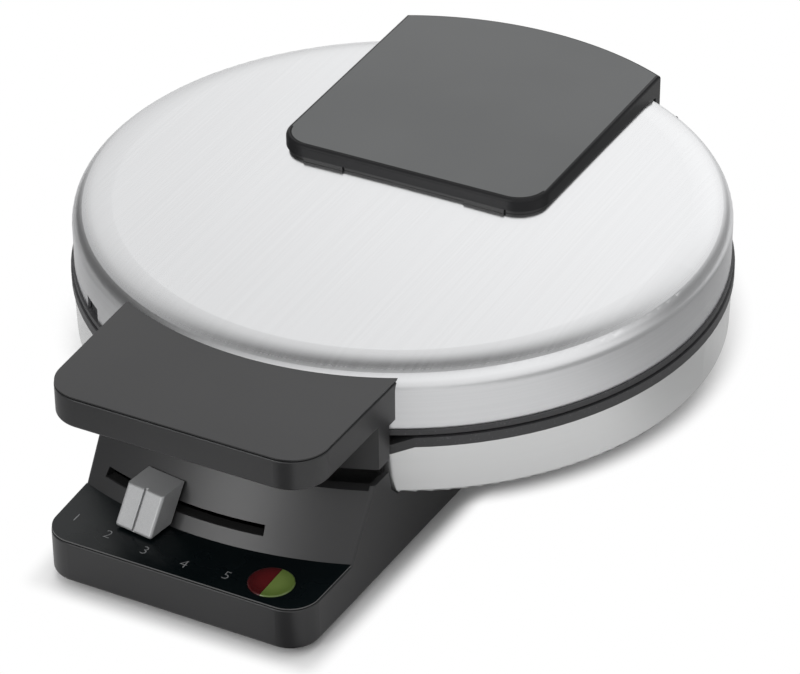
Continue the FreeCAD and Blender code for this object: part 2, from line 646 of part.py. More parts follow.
def thermostat_body():
    """Thermostat under the lower plate, bored for its spindle."""
    body = rod(THERMOSTAT_R, THERMOSTAT_LOW_Z, THERMOSTAT_TOP_Z)
    bore_top = THERMOSTAT_LOW_Z + SPINDLE_DEPTH + SPINDLE_END_ROOM
    return body.cut(rod(SPINDLE_R + RUNNING_FIT, THERMOSTAT_LOW_Z, bore_top))


def thermostat_bracket():
    """Strap that holds the thermostat against the lower plate."""
    return slab(-BRACKET_LENGTH / 2, BRACKET_LENGTH / 2, -BRACKET_DEPTH / 2, BRACKET_DEPTH / 2,
                THERMOSTAT_TOP_Z, PLATE_UNDER_Z)


def thermal_fuse():
    """Overheat cut-out under the lower plate."""
    return crossbar(FUSE_R, -FUSE_LENGTH / 2, FUSE_LENGTH / 2, FUSE_Y, PLATE_UNDER_Z - FUSE_R - SEAM)


def fuse_clip():
    """Spring strap round the cut-out, with feet against the plate."""
    axis_z = PLATE_UNDER_Z - FUSE_R - SEAM
    inner = FUSE_R + SEAM
    hoop = crossbar(inner + CLIP_THICK, -CLIP_WIDTH / 2, CLIP_WIDTH / 2, FUSE_Y, axis_z).common(
        slab(-FAR, FAR, -FAR, FAR, 0, axis_z))
    reach = inner + CLIP_THICK
    legs = slab(-CLIP_WIDTH / 2, CLIP_WIDTH / 2, FUSE_Y - reach, FUSE_Y + reach, axis_z, PLATE_UNDER_Z)
    feet = slab(-CLIP_WIDTH / 2, CLIP_WIDTH / 2, FUSE_Y - reach - CLIP_FOOT, FUSE_Y + reach + CLIP_FOOT,
                PLATE_UNDER_Z - CLIP_THICK, PLATE_UNDER_Z)
    room = crossbar(inner, -FAR, FAR, FUSE_Y, axis_z).fuse(
        slab(-FAR, FAR, FUSE_Y - inner, FUSE_Y + inner, axis_z, PLATE_UNDER_Z))
    return joined([hoop, legs, feet]).cut(room)


def lower_shell():
    """Stainless pan of the lower half, lowered at the front like the rim above it."""
    bend = math.radians(45)
    inner = PAN_BEND - SHEET
    turn_r, turn_z = PAN_FOOT_R - PAN_BEND, DECK_Z + PAN_BEND

    def skin(offset, radius):
        start = V(turn_r, 0, DECK_Z + offset)
        middle = V(turn_r + radius * math.sin(bend), 0, turn_z - radius * math.cos(bend))
        end = V(turn_r + radius, 0, turn_z)
        return start, middle, end

    outer, inside = skin(0, PAN_BEND), skin(SHEET, inner)
    top = PAN_TOP_Z
    corners = [V(SHELL_BORE_R, 0, DECK_Z), outer[0], outer[2], V(PAN_TOP_R, 0, top),
               V(PAN_TOP_R - SHEET, 0, top), inside[2], inside[0], V(SHELL_BORE_R, 0, SHELL_FLOOR_Z)]
    edges = [Part.makeLine(corners[0], corners[1]), Part.Arc(*outer).toShape(),
             Part.makeLine(corners[2], corners[3]), Part.makeLine(corners[3], corners[4]),
             Part.makeLine(corners[4], corners[5]), Part.Arc(*reversed(inside)).toShape(),
             Part.makeLine(corners[6], corners[7]), Part.makeLine(corners[7], corners[0])]
    pan = Part.Face(Part.Wire(edges)).revolve(V(), UP, 360)
    holes = [rod(SCREW_R + SCREW_ROOM, DECK_Z, SHELL_FLOOR_Z, x, y) for x, y in plate_screw_places()]
    holes += [rod(TERMINAL_R + TERMINAL_ROOM, DECK_Z, SHELL_FLOOR_Z, x, y) for x, y in terminal_places()]
    dip = dipped_rim(RIM_STEP + DIP_DEPTH, PAN_TOP_R - 2 * SHEET, PAN_TOP_R + SHEET, top)
    return pan.cut(holes + [dip])


def dipped_rim(height, inner, outer, low):
    """Front stretch of a rim, lowered between two slopes; it stands height above its own low edge."""
    def section(angle, drop):
        base = low - drop
        outline = [V(inner, 0, base), V(outer, 0, base),
                   V(outer, 0, base + height), V(inner, 0, base + height)]
        wire = Part.makePolygon(outline + outline[:1])
        wire.rotate(V(), UP, angle - 90)
        return wire

    base = low - DIP_DEPTH
    middle = turned([(inner, base), (outer, base), (outer, base + height), (inner, base + height)],
                    -DIP_END, 2 * DIP_END)
    slope = Part.makeLoft([section(DIP_END, DIP_DEPTH), section(DIP_START, 0)], True, True)
    return joined([middle] + mirrored_pair(slope))


def plate_blank(rim_r, rim_low, step_r, dipped):
    """Cast plate without its back: field, sloped wall, inner land, overflow groove and rim."""
    land = PARTING_Z - LAND_GAP
    rim_top = PARTING_Z - RIM_GAP
    land_r = FIELD_R + FIELD_WALL
    groove_r = land_r + LAND_WIDTH + GROOVE_SLOPE
    inner = groove_r + GROOVE_WIDTH
    core = [(0, PLATE_UNDER_Z), (FIELD_R + GROOVE_SLOPE, PLATE_UNDER_Z),
            (land_r + LAND_WIDTH / 2, FLANGE_UNDER_Z), (inner, FLANGE_UNDER_Z), (inner, GROOVE_Z),
            (groove_r, GROOVE_Z),
            (land_r + LAND_WIDTH, land), (land_r, land), (FIELD_R, FLOOR_Z), (0, FLOOR_Z)]
    rim = [(inner, FLANGE_UNDER_Z), (step_r, FLANGE_UNDER_Z), (step_r, rim_low), (rim_r, rim_low),
           (rim_r, rim_top), (inner + GROOVE_SLOPE, rim_top), (inner, GROOVE_Z)]
    if not dipped:
        return joined([turned(core), turned(rim)])
    round_the_back = turned(rim, DIP_START, 360 - 2 * DIP_START)
    front = dipped_rim(rim_top - rim_low, inner, rim_r, rim_low)
    return joined([turned(core), round_the_back, front])


def stud_field():
    """Square studs parted by channels, and the cross ridge that quarters the waffle."""
    top = FLOOR_Z + STUD_HEIGHT
    slope = (CHANNEL_TOP - CHANNEL_FLOOR) / 2
    edge = FIELD_R - FIELD_EDGE
    disc = turned([(0, FLOOR_Z), (edge, FLOOR_Z), (edge - slope, top), (0, top)])
    count = int(FIELD_R // STUD_PITCH) + 1
    channels = []
    for step in range(-count, count + 1):
        half_low, half_high = CHANNEL_FLOOR / 2, CHANNEL_TOP / 2
        outline = [V(-half_low, -FIELD_R, FLOOR_Z), V(half_low, -FIELD_R, FLOOR_Z),
                   V(half_high, -FIELD_R, top), V(-half_high, -FIELD_R, top)]
        channel = Part.Face(Part.makePolygon(outline + outline[:1])).extrude(V(0, 2 * FIELD_R, 0))
        channel.translate(V(step * STUD_PITCH, 0, 0))
        crossing = channel.copy()
        crossing.rotate(V(), UP, 90)
        channels += [channel, crossing]
    studs = disc.cut(channels)
    half = RIDGE_WIDTH / 2
    ridge_top = FLOOR_Z + RIDGE_HEIGHT
    reach = FIELD_R + FIELD_WALL
    outline = [V(-half, -reach, FLOOR_Z), V(half, -reach, FLOOR_Z),
               V(half / 2, -reach, ridge_top), V(-half / 2, -reach, ridge_top)]
    ridge = Part.Face(Part.makePolygon(outline + outline[:1])).extrude(V(0, 2 * reach, 0))
    crossing = ridge.copy()
    crossing.rotate(V(), UP, 90)
    wall_lean = FIELD_WALL / (FIELD_DEPTH - LAND_GAP) * RIDGE_HEIGHT
    within = turned([(0, FLOOR_Z), (FIELD_R, FLOOR_Z), (FIELD_R + wall_lean, ridge_top), (0, ridge_top)])
    return studs.Solids + [joined([ridge, crossing]).common(within)]


def lower_waffle_plate():
    """Lower cast plate with bosses for its screws and a lowered rim behind the handle."""
    blank = plate_blank(LOWER_RIM_R, PAN_TOP_Z, PAN_TOP_R - SHEET - RIM_ROOM, True)
    bosses = [rod(BOSS_R, SHELL_FLOOR_Z, PLATE_UNDER_Z, x, y) for x, y in plate_screw_places()]
    plate = joined([blank] + stud_field() + bosses)
    holes = [rod(SCREW_R + SEAM, SHELL_FLOOR_Z, PLATE_UNDER_Z, x, y) for x, y in plate_screw_places()]
    return plate.cut(holes)


def upper_waffle_plate():
    """Upper cast plate, with bosses for the hinge screws and lugs for the handle screws."""
    rim_low = 2 * PARTING_Z - LID_LOW_Z + SEAM
    blank = joined([plate_blank(UPPER_RIM_R, rim_low, LID_R - SHEET - RIM_ROOM, False)] + stud_field())
    blank = blank.mirror(UP * PARTING_Z, UP)
    bosses = [rod(BOSS_R, UPPER_BACK_Z, FAR, x, y) for x, y in hinge_screw_places()]
    flange = 2 * PARTING_Z - FLANGE_UNDER_Z
    lug = slab(-LUG_WIDTH / 2, LUG_WIDTH / 2, -FAR, -LUG_IN_R, flange, HANDLE_SCREW_Z + SCREW_HEAD_R)
    lugs = []
    for angle in (-HANDLE_SCREW_ANGLE, HANDLE_SCREW_ANGLE):
        turned_lug = lug.copy()
        turned_lug.rotate(V(), UP, angle)
        lugs.append(turned_lug)
    inside = lid_form(-SHEET - SEAM, flange)
    plate = joined([blank] + [piece.common(inside) for piece in bosses + lugs])
    holes = [rod(SCREW_R + SEAM, UPPER_BACK_Z, FAR, x, y) for x, y in hinge_screw_places()]
    holes += [spoke(SCREW_R + SEAM, LUG_IN_R - SEAM, LID_R, HANDLE_SCREW_Z, angle)
              for angle in (-HANDLE_SCREW_ANGLE, HANDLE_SCREW_ANGLE)]
    return plate.cut(holes)


def heating_element(plate_z, away):
    """Tubular element: an open ring against a plate's back, with terminals that turn away."""
    z = plate_z + away * (ELEMENT_TUBE_R + ELEMENT_GAP)
    section = Part.Face(Part.Wire(Part.makeCircle(ELEMENT_TUBE_R, V(ELEMENT_R, 0, z), V(0, 1, 0))))
    ring = section.revolve(V(), UP, 360 - ELEMENT_OPENING)
    ring.rotate(V(), UP, 90 + ELEMENT_OPENING / 2)
    return ring, z


def lower_heating_element():
    """Element under the lower plate; its terminals go down through the deck."""
    ring, z = heating_element(PLATE_UNDER_Z, -1)
    ends = [rod(TERMINAL_R, z - TERMINAL_LENGTH, z, x, y) for x, y in terminal_places()]
    return joined([ring] + ends)


def upper_heating_element():
    """Element over the upper plate; its terminals point to the rear."""
    ring, z = heating_element(UPPER_BACK_Z, 1)
    back = V(0, 1, 0)
    ends = [Part.makeCylinder(TERMINAL_R, TERMINAL_LENGTH, V(x, y, z), back) for x, y in terminal_places()]
    return joined([ring] + ends)


def lower_heat_shield():
    """Thin tray under the lower element, standing on the shell by its rim."""
    top, rim_r = LOWER_SHIELD_Z, LOWER_SHIELD_R
    tray = turned([(SHELL_BORE_R, top - SHIELD_SHEET), (rim_r - SHIELD_SHEET, top - SHIELD_SHEET),
                   (rim_r - SHIELD_SHEET, SHELL_FLOOR_Z), (rim_r, SHELL_FLOOR_Z),
                   (rim_r, top), (SHELL_BORE_R, top)])
    holes = [rod(BOSS_R + BOSS_ROOM, 0, FAR, x, y) for x, y in plate_screw_places()]
    holes += [rod(TERMINAL_R + TERMINAL_ROOM, 0, FAR, x, y) for x, y in terminal_places()]
    return tray.cut(holes)


def upper_heat_shield():
    """Thin tray over the upper element, standing on the plate's back by its rim."""
    low, top, rim_r = UPPER_BACK_Z, UPPER_SHIELD_Z, UPPER_SHIELD_R
    tray = turned([(0, top - SHIELD_SHEET), (rim_r - SHIELD_SHEET, top - SHIELD_SHEET),
                   (rim_r - SHIELD_SHEET, low), (rim_r, low), (rim_r, top), (0, top)])
    return tray.cut([rod(BOSS_R + BOSS_ROOM, 0, FAR, x, y) for x, y in hinge_screw_places()])


def lower_plate_screws():
    """Screws from under the deck into the lower plate's bosses."""
    return Part.makeCompound([screw(x, y, DECK_UNDER_Z, PLATE_UNDER_Z - BOSS_ROOF, SCREW_R, SCREW_HEAD_R)
                              for x, y in plate_screw_places()])


def hinge_screw_seat(x, y):
    """Height at which a hinge screw's head clears the curved strap."""
    return dome_z(math.hypot(x, y) - SCREW_HEAD_R) + STRAP_THICK + SEAM


def hinge_screws():
    """Screws through the strap and the lid into the upper plate's bosses."""
    tip = UPPER_BACK_Z + BOSS_ROOF
    return Part.makeCompound([screw(x, y, hinge_screw_seat(x, y), tip, SCREW_R, SCREW_HEAD_R)
                              for x, y in hinge_screw_places()])


def handle_screws():
    """Screws from inside the lid through the plate's lugs into the handle."""
    screws = []
    for angle in (-HANDLE_SCREW_ANGLE, HANDLE_SCREW_ANGLE):
        head = spoke(SCREW_HEAD_R, LUG_IN_R - SCREW_HEAD, LUG_IN_R, HANDLE_SCREW_Z, angle)
        shank = spoke(SCREW_R, LUG_IN_R, APRON_OUT_R - WALL, HANDLE_SCREW_Z, angle)
        screws.append(joined([head, shank]))
    return Part.makeCompound(screws)


def lid_shell():
    """Domed stainless lid with a notch in its lower edge beside the handle."""
    shell = lid_form(0).cut(lid_form(-SHEET, 0))
    notch = slab(-NOTCH_WIDTH / 2, NOTCH_WIDTH / 2, -FAR, -LID_R / 2, LID_LOW_Z, LID_LOW_Z + NOTCH_HEIGHT)
    notch.rotate(V(), UP, NOTCH_ANGLE)
    holes = [rod(SCREW_R + SCREW_ROOM, LID_LOW_Z, FAR, x, y) for x, y in hinge_screw_places()]
    holes += [spoke(SCREW_R + SCREW_ROOM, LID_R / 2, FAR, HANDLE_SCREW_Z, angle)
              for angle in (-HANDLE_SCREW_ANGLE, HANDLE_SCREW_ANGLE)]
    return shell.cut(holes + [notch])


def handle_body():
    """Handle moulding with a round apron behind the fingers and a pocket for its top panel."""
    top = HANDLE_TOP_Z - LIP_THICK - LIP_GROOVE
    grip = rounded(handle_block(0, HANDLE_UNDER_Z, top), HANDLE_UNDER_EDGE, HANDLE_UNDER_Z)
    grip = rounded(grip, HANDLE_TOP_EDGE, top)
    seat = handle_block(LIP_INSET + LIP_REACH - SEAM, HANDLE_TOP_Z - HANDLE_CAP_THICK, HANDLE_TOP_Z)
    collar_top = HANDLE_UNDER_Z + HANDLE_UNDER_EDGE
    collar = turned([(LID_R, COLLAR_LOW_Z), (APRON_IN_R, COLLAR_LOW_Z), (APRON_IN_R, APRON_LOW_Z),
                     (APRON_OUT_R, APRON_LOW_Z), (APRON_OUT_R, collar_top), (LID_R, collar_top)], -90, 180)
    apron = collar.common(handle_block(0, APRON_LOW_Z, HANDLE_TOP_Z))
    body = joined([grip, apron]).cut([seat, lid_form(SEAM / 2, 0)])
    return body.cut([spoke(SCREW_R + SEAM, LID_R / 2, APRON_OUT_R - WALL + SEAM, HANDLE_SCREW_Z, angle)
                     for angle in (-HANDLE_SCREW_ANGLE, HANDLE_SCREW_ANGLE)])


def handle_cap():
    """Panel over the handle's top: a thin lip, and a tongue let into the pocket."""
    under_lip = HANDLE_TOP_Z - LIP_THICK
    panel = joined([handle_block(LIP_INSET, under_lip, HANDLE_TOP_Z),
                    handle_block(LIP_INSET + LIP_REACH, HANDLE_TOP_Z - HANDLE_CAP_THICK, under_lip)])
    return panel.cut(lid_form(SEAM / 2, 0))


def strap_strips(room):
    """Two bands, over the knuckles, in which the hinge strap runs to the rear."""
    return [slab(min(s * (KNUCKLE_IN_X - room), s * (KNUCKLE_OUT_X + room)),
                 max(s * (KNUCKLE_IN_X - room), s * (KNUCKLE_OUT_X + room)), 0, FAR, 0, FAR) for s in (-1, 1)]


def hinge_frame():
    """Formed strap over the lid that runs down behind it to two knuckles."""
    foot = HINGE_Z + KNUCKLE_R - STRAP_THICK
    skin = lid_form(SEAM / 2 + STRAP_THICK, foot).cut(lid_form(SEAM / 2, 0))
    over_lid = slab(-FAR, FAR, -FAR, COVER_SEAT_END, SHOULDER_CENTRE_Z, FAR)
    plate = skin.common(cover_block(COVER_INSET, 0, FAR)).common(over_lid)
    arms = [skin.common(strip) for strip in strap_strips(0)]
    knuckles = []
    for x0 in (KNUCKLE_IN_X, -KNUCKLE_OUT_X):
        x1 = x0 + KNUCKLE_OUT_X - KNUCKLE_IN_X
        web = slab(x0, x1, LID_R / 2, HINGE_Y, foot, HINGE_Z + KNUCKLE_R).cut(lid_form(SEAM / 2, 0))
        knuckles += [web, crossbar(KNUCKLE_R, x0, x1, HINGE_Y, HINGE_Z)]
    frame = joined([plate] + arms + knuckles)
    holes = [rod(SCREW_R + SCREW_ROOM, LID_LOW_Z, FAR, x, y) for x, y in hinge_screw_places()]
    holes += mirrored_pair(crossbar(HINGE_PIN_R + RUNNING_FIT, KNUCKLE_IN_X, KNUCKLE_OUT_X, HINGE_Y, HINGE_Z))
    return frame.cut(holes)


def hinge_cover():
    """Flat-topped pad over the rear of the lid; it hides the strap and its screws."""
    pad = rounded(cover_block(0, COVER_LOW_Z, HINGE_COVER_TOP_Z), COVER_EDGE, HINGE_COVER_TOP_Z)
    seat = lid_form(STRAP_THICK + SEAM, 0).common(slab(-FAR, FAR, -FAR, COVER_SEAT_END + SEAM, 0, FAR))
    arms = [lid_form(STRAP_THICK + SEAM, 0).common(strip) for strip in strap_strips(SEAM)]
    heads = [rod(SCREW_HEAD_R + HEAD_ROOM, LID_LOW_Z, hinge_screw_seat(x, y) + SCREW_HEAD + HEAD_ROOM, x, y)
             for x, y in hinge_screw_places()]
    return pad.cut([seat, lid_form(SEAM / 2, 0)] + arms + heads)


def hinge_pins():
    """Two stub pins, fixed in the base's ears, on which the knuckles turn."""
    return Part.makeCompound(mirrored_pair(crossbar(HINGE_PIN_R, KNUCKLE_IN_X, EAR_OUT_X, HINGE_Y, HINGE_Z)))


PIECES = {
    "base_housing": base_housing,
    "bottom_cover": bottom_cover,
    "rubber_feet": rubber_feet,
    "bottom_screws": bottom_screws,
    "scale_plate": scale_plate,
    "red_lens": lambda: lens(-1),
    "green_lens": lambda: lens(1),
    "lamp_holder": lamp_holder,
    "indicator_lamps": indicator_lamps,
    "terminal_block": terminal_block,
    "cord_grommet": cord_grommet,
    "slider_knob": slider_knob,
    "slider_lever": slider_lever,
    "thermostat_spindle": thermostat_spindle,
    "thermostat_body": thermostat_body,
    "thermostat_bracket": thermostat_bracket,
    "thermal_fuse": thermal_fuse,
    "fuse_clip": fuse_clip,
    "lower_shell": lower_shell,
    "lower_waffle_plate": lower_waffle_plate,
    "lower_heating_element": lower_heating_element,
    "lower_heat_shield": lower_heat_shield,
    "lower_plate_screws": lower_plate_screws,
    "hinge_pins": hinge_pins,
    "lid_shell": lid_shell,
    "upper_waffle_plate": upper_waffle_plate,
    "upper_heating_element": upper_heating_element,
    "upper_heat_shield": upper_heat_shield,
    "handle_body": handle_body,
    "handle_cap": handle_cap,
    "handle_screws": handle_screws,
    "hinge_frame": hinge_frame,
    "hinge_cover": hinge_cover,
    "hinge_screws": hinge_screws,
}

os.makedirs("parts", exist_ok=True)
for node, make in PIECES.items():
    shape = make()
    shape.translate(V(0, PLATE_AXIS_Y, 0))
    shape.exportStep(f"parts/{node}.step")
    print(node, "solids", len(shape.Solids), "valid", shape.isValid(), "volume", round(shape.Volume, 1))
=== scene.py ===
# %% [markdown]
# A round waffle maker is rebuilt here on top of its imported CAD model. The CAD nodes give every
# place and size in metres, and this lesson dresses them: brushed steel, moulded plastic, a glossy
# scale and a two-coloured indicator. A few small pieces that CAD leaves plain are modelled on the
# way. Each step says what the piece is on the real object and why it is made this way.

# %% Load the frame
import bmesh
import bpy
import json
import math
from mathutils import Matrix, Vector


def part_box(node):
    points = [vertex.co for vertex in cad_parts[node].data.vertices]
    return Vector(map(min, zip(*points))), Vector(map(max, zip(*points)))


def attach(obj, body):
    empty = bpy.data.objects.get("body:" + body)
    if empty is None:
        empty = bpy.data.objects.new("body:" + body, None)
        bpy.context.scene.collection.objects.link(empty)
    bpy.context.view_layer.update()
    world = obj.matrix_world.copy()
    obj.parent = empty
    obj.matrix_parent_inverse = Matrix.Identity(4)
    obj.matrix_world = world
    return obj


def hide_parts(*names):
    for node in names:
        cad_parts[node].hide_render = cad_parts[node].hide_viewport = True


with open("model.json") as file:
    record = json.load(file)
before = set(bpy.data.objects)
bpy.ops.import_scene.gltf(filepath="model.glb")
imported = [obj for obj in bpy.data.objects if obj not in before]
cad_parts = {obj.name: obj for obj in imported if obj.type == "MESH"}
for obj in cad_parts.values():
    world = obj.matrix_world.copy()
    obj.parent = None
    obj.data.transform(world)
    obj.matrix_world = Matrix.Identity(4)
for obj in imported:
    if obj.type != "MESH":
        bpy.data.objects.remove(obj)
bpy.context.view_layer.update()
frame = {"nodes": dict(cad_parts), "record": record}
MM = 0.001

# %% [markdown]
# The camera stands where the photographer stood. Its angles and distance were solved from the
# edges of the lid and the base, so the render can be laid over the photograph. Writing the three
# axes of the camera as columns of a matrix is clearer than Euler angles, because the small roll is
# one turn.

# %% Camera
VIEW_AZIMUTH = math.radians(27.741)
VIEW_ELEVATION = math.radians(33.287)
VIEW_ROLL = math.radians(-0.416)
VIEW_DISTANCE = 1026.6 * MM
VIEW_TARGET = Vector((25.843, -34.311, 50.0)) * MM
VIEW_LENS = 163.77

back = Vector((math.sin(VIEW_AZIMUTH) * math.cos(VIEW_ELEVATION),
               -math.cos(VIEW_AZIMUTH) * math.cos(VIEW_ELEVATION),
               math.sin(VIEW_ELEVATION)))
level = Vector((math.cos(VIEW_AZIMUTH), math.sin(VIEW_AZIMUTH), 0))
right = Matrix.Rotation(VIEW_ROLL, 3, back) @ level
up = back.cross(right)
turned = Matrix((right, up, back)).transposed().to_quaternion()
camera = bpy.data.objects.new("camera", bpy.data.cameras.new("camera"))
camera.data.lens = VIEW_LENS
camera.matrix_world = Matrix.LocRotScale(VIEW_TARGET + back * VIEW_DISTANCE, turned, None)
bpy.context.scene.collection.objects.link(camera)
bpy.context.scene.camera = camera
print("camera at", [round(c, 3) for c in camera.location])

# %% [markdown]
# Shader maths reads best as a formula. This class wraps an output socket, so that adding or
# multiplying two of them adds a Math node. Every other node comes from one method, which sets the
# node's options first and then its inputs, either as numbers or as links.

# %% Shader formulas
class Wire:
    """An output socket of a node tree, with arithmetic."""

    def __init__(self, tree, socket=None):
        self.tree = tree
        self.socket = socket

    def node(self, kind, settings=None, inputs=None, output=0):
        """Add a node, set it up and return one of its outputs."""
        made = self.tree.nodes.new(kind)
        for name, value in (settings or {}).items():
            if name == "stops":
                self.set_stops(made.color_ramp, value)
            else:
                setattr(made, name, value)
        for name, value in (inputs or {}).items():
            if isinstance(value, Wire):
                self.tree.links.new(value.socket, made.inputs[name])
            else:
                made.inputs[name].default_value = value
        return Wire(self.tree, made.outputs[output] if made.outputs else None)

    @staticmethod
    def set_stops(ramp, stops):
        """Put grey stops on a colour ramp."""
        while len(ramp.elements) < len(stops):
            ramp.elements.new(1.0)
        for element, (place, grey) in zip(ramp.elements, stops):
            element.position = place
            element.color = (grey, grey, grey, 1)

    def other(self, output):
        """Another output of the same node."""
        return Wire(self.tree, self.socket.node.outputs[output])

    def math(self, operation, a, b=0.0):
        """One Math node."""
        return self.node("ShaderNodeMath", {"operation": operation}, {0: a, 1: b})

    def __abs__(self):
        return self.math("ABSOLUTE", self)

    def __add__(self, other):
        return self.math("ADD", self, other)

    def __radd__(self, other):
        return self.math("ADD", other, self)

    def __sub__(self, other):
        return self.math("SUBTRACT", self, other)

    def __rsub__(self, other):
        return self.math("SUBTRACT", other, self)

    def __mul__(self, other):
        return self.math("MULTIPLY", self, other)

    def __rmul__(self, other):
        return self.math("MULTIPLY", other, self)


print("shader formulas ready")

# %% [markdown]
# A few helpers turn numbers into masks and colours. A Map Range node with a smooth step fades
# between two values, and a Mix node blends two colours, since a Math node would turn a colour
# grey. That node has sockets for every kind of value, so those for colours are picked by number.

# %% Fades and blends
MIX_FACTOR, MIX_FIRST, MIX_SECOND, MIX_RESULT = 0, 6, 7, 2


def fade(value, start, end):
    """0 before start, 1 after end, smooth between."""
    return value.node("ShaderNodeMapRange", {"interpolation_type": "SMOOTHSTEP"},
                      {"Value": value, "From Min": start, "From Max": end})


def blend(mask, first, second):
    """The first colour where the mask is 0, the second where it is 1."""
    first, second = (c if isinstance(c, Wire) else (*c, 1) for c in (first, second))
    return mask.node("ShaderNodeMix", {"data_type": "RGBA"},
                     {MIX_FACTOR: mask, MIX_FIRST: first, MIX_SECOND: second}, MIX_RESULT)


def largest(first, *others):
    """The largest of several values."""
    for other in others:
        first = first.math("MAXIMUM", first, other)
    return first


print("fades and blends ready")

# %% [markdown]
# A product photograph has a white sweep, soft light, and dark flags that polished steel picks up
# as dark bands. The world does all of this: it is white to the camera, even and moderate to
# diffuse rays, and shaped for glossy rays. A direction is read as its parts away from the
# photographer, to either side and up. Its pitch is 0 at the horizon behind the object, a half
# overhead, and 1 at the photographer's back. A grey ramp on the pitch gives the bands, and serves
# as a number.

# %% World directions
world = bpy.data.worlds.new("studio")
bpy.context.scene.world = world
world.use_nodes = True
world.node_tree.nodes.clear()
sky = Wire(world.node_tree)
direction = sky.node("ShaderNodeTexCoord", output="Generated")


def along(axis):
    """How far a direction points along an axis."""
    return sky.node("ShaderNodeVectorMath", {"operation": "DOT_PRODUCT"},
                    {0: direction, 1: axis}, "Value")


height = along((0, 0, 1))
away = along((-level.y, level.x, 0))
leftward = along(tuple(-level))
rightward = along(tuple(level))
pitch = sky.math("ARCTAN2", height, away) * (1 / math.pi)
print("world", world.name, "has", len(world.node_tree.nodes), "nodes for directions")

# %% World bands and flags
SKY_BANDS = [(0.0, 0.76), (0.05, 0.88), (0.11, 0.99), (0.185, 1.0), (0.215, 0.87), (0.25, 0.79),
             (0.29, 0.56), (0.33, 0.12), (0.375, 0.10), (0.42, 0.87), (0.70, 0.90), (0.85, 0.80),
             (1.0, 0.72)]
SWEEP_LEVEL = 1.08
SWEEP_LEFT = (-0.12, 0.20)
SWEEP_DROP = 0.24
SWEEP_RIGHT = (0.12, 0.28)
SWEEP_RISE = 0.03
LEFT_FLAG = {"side": (0.29, 0.52), "away": (-0.35, 0.0), "top": (0.74, 0.86),
             "opening": 0.6, "dark": 0.86}
RIGHT_FLAG = {"side": (0.38, 0.62), "away": (-0.4, 0.1), "top": (0.55, 0.75),
              "opening": 1.0, "dark": 0.72}


def past_flag(sideways, flag):
    """The share of the light that a dark flag at one side lets through."""
    closed = 1 - fade(height, *flag["top"]) * flag["opening"]
    covered = fade(sideways, *flag["side"]) * fade(away, *flag["away"])
    return 1 - covered * closed * flag["dark"]


bands = sky.node("ShaderNodeValToRGB", {"stops": SKY_BANDS}, {0: pitch})
darker = fade(leftward, *SWEEP_LEFT) * SWEEP_DROP
lighter = fade(rightward, *SWEEP_RIGHT) * SWEEP_RISE
sweep = bands * (SWEEP_LEVEL - darker + lighter)
studio = sweep * past_flag(leftward, LEFT_FLAG) * past_flag(rightward, RIGHT_FLAG)
print(len(SKY_BANDS), "sky bands and two flags")

# %% World light
WORLD_FILL = 0.62
camera_ray = sky.node("ShaderNodeLightPath", output="Is Camera Ray")
glossy_ray = camera_ray.other("Is Glossy Ray")
seen = largest(camera_ray, camera_ray.other("Is Transmission Ray"))
light_level = WORLD_FILL * (1 - glossy_ray) * (1 - seen) + studio * glossy_ray + seen
shine = sky.node("ShaderNodeBackground", inputs={"Color": (1, 1, 1, 1), "Strength": light_level})
sky.node("ShaderNodeOutputWorld", inputs={"Surface": shine})
bpy.context.scene.view_settings.view_transform = "Standard"
print("world fill", WORLD_FILL)

# %% [markdown]
# One large soft lamp above and behind gives the tops their lighter tone. A weaker one from the
# left keeps the front from going flat. Steel would show both as hot patches, so they are hidden
# from glossy rays. A small soft box near the camera is not hidden: it is the sheen on the control
# face.

# %% Lamps
LAMP_AIM = Vector((0, 0, 40 * MM))
LAMPS = {
    "overhead": {"place": (-0.25, 0.75, 1.6), "size": 1.6, "power": 17.0, "glossy": False},
    "left_fill": {"place": (-1.5, -0.7, 0.9), "size": 1.2, "power": 6.0, "glossy": False},
    "soft_box": {"place": (-0.40, -1.19, 0.61), "size": 0.5, "power": 3.5, "glossy": True},
}
for name, lamp in LAMPS.items():
    data = bpy.data.lights.new(name, "AREA")
    data.size = lamp["size"]
    data.energy = lamp["power"]
    light = bpy.data.objects.new(name, data)
    light.location = lamp["place"]
    aim = LAMP_AIM - light.location
    light.rotation_euler = aim.to_track_quat("-Z", "Y").to_euler()
    light.visible_glossy = lamp["glossy"]
    bpy.context.scene.collection.objects.link(light)
print("lamps:", ", ".join(LAMPS))

# %% [markdown]
# The floor is a plain pale sheet, only there to catch the shadow. In the photograph the shadow
# dies out a finger's width from the base and from the pan's edge. The sheet is therefore an
# ordinary matt surface near the object, and fades to plain white for the camera further out. To
# glossy rays it is also darker in five places, as if dark cards lay there: one on each side, one
# behind on the left, one near on the right, and a narrow one before the corner of the base.
# Photographers lay such cards, because bright metal has no form without something dark to mirror.

# %% Floor helpers
def object_from(bm, name, smooth_angle=None):
    """Turn a bmesh into a linked object, smooth apart from edges sharper than an angle."""
    if smooth_angle is not None:
        for face in bm.faces:
            face.smooth = True
        for edge in bm.edges:
            edge.smooth = len(edge.link_faces) == 2 and edge.calc_face_angle() < smooth_angle
    mesh = bpy.data.meshes.new(name)
    bm.to_mesh(mesh)
    bm.free()
    made = bpy.data.objects.new(name, mesh)
    bpy.context.scene.collection.objects.link(made)
    return made


def object_place(wire):
    """A point's place on its own object, which for CAD nodes is the row frame in metres."""
    return wire.node("ShaderNodeTexCoord", output="Object")


def split(vector):
    """The three parts of a vector."""
    x = vector.node("ShaderNodeSeparateXYZ", inputs={0: vector})
    return x, x.other("Y"), x.other("Z")


def flat_distance(x, y):
    """Length of a flat vector."""
    return x.math("SQRT", x * x + y * y)


print("floor helpers ready")

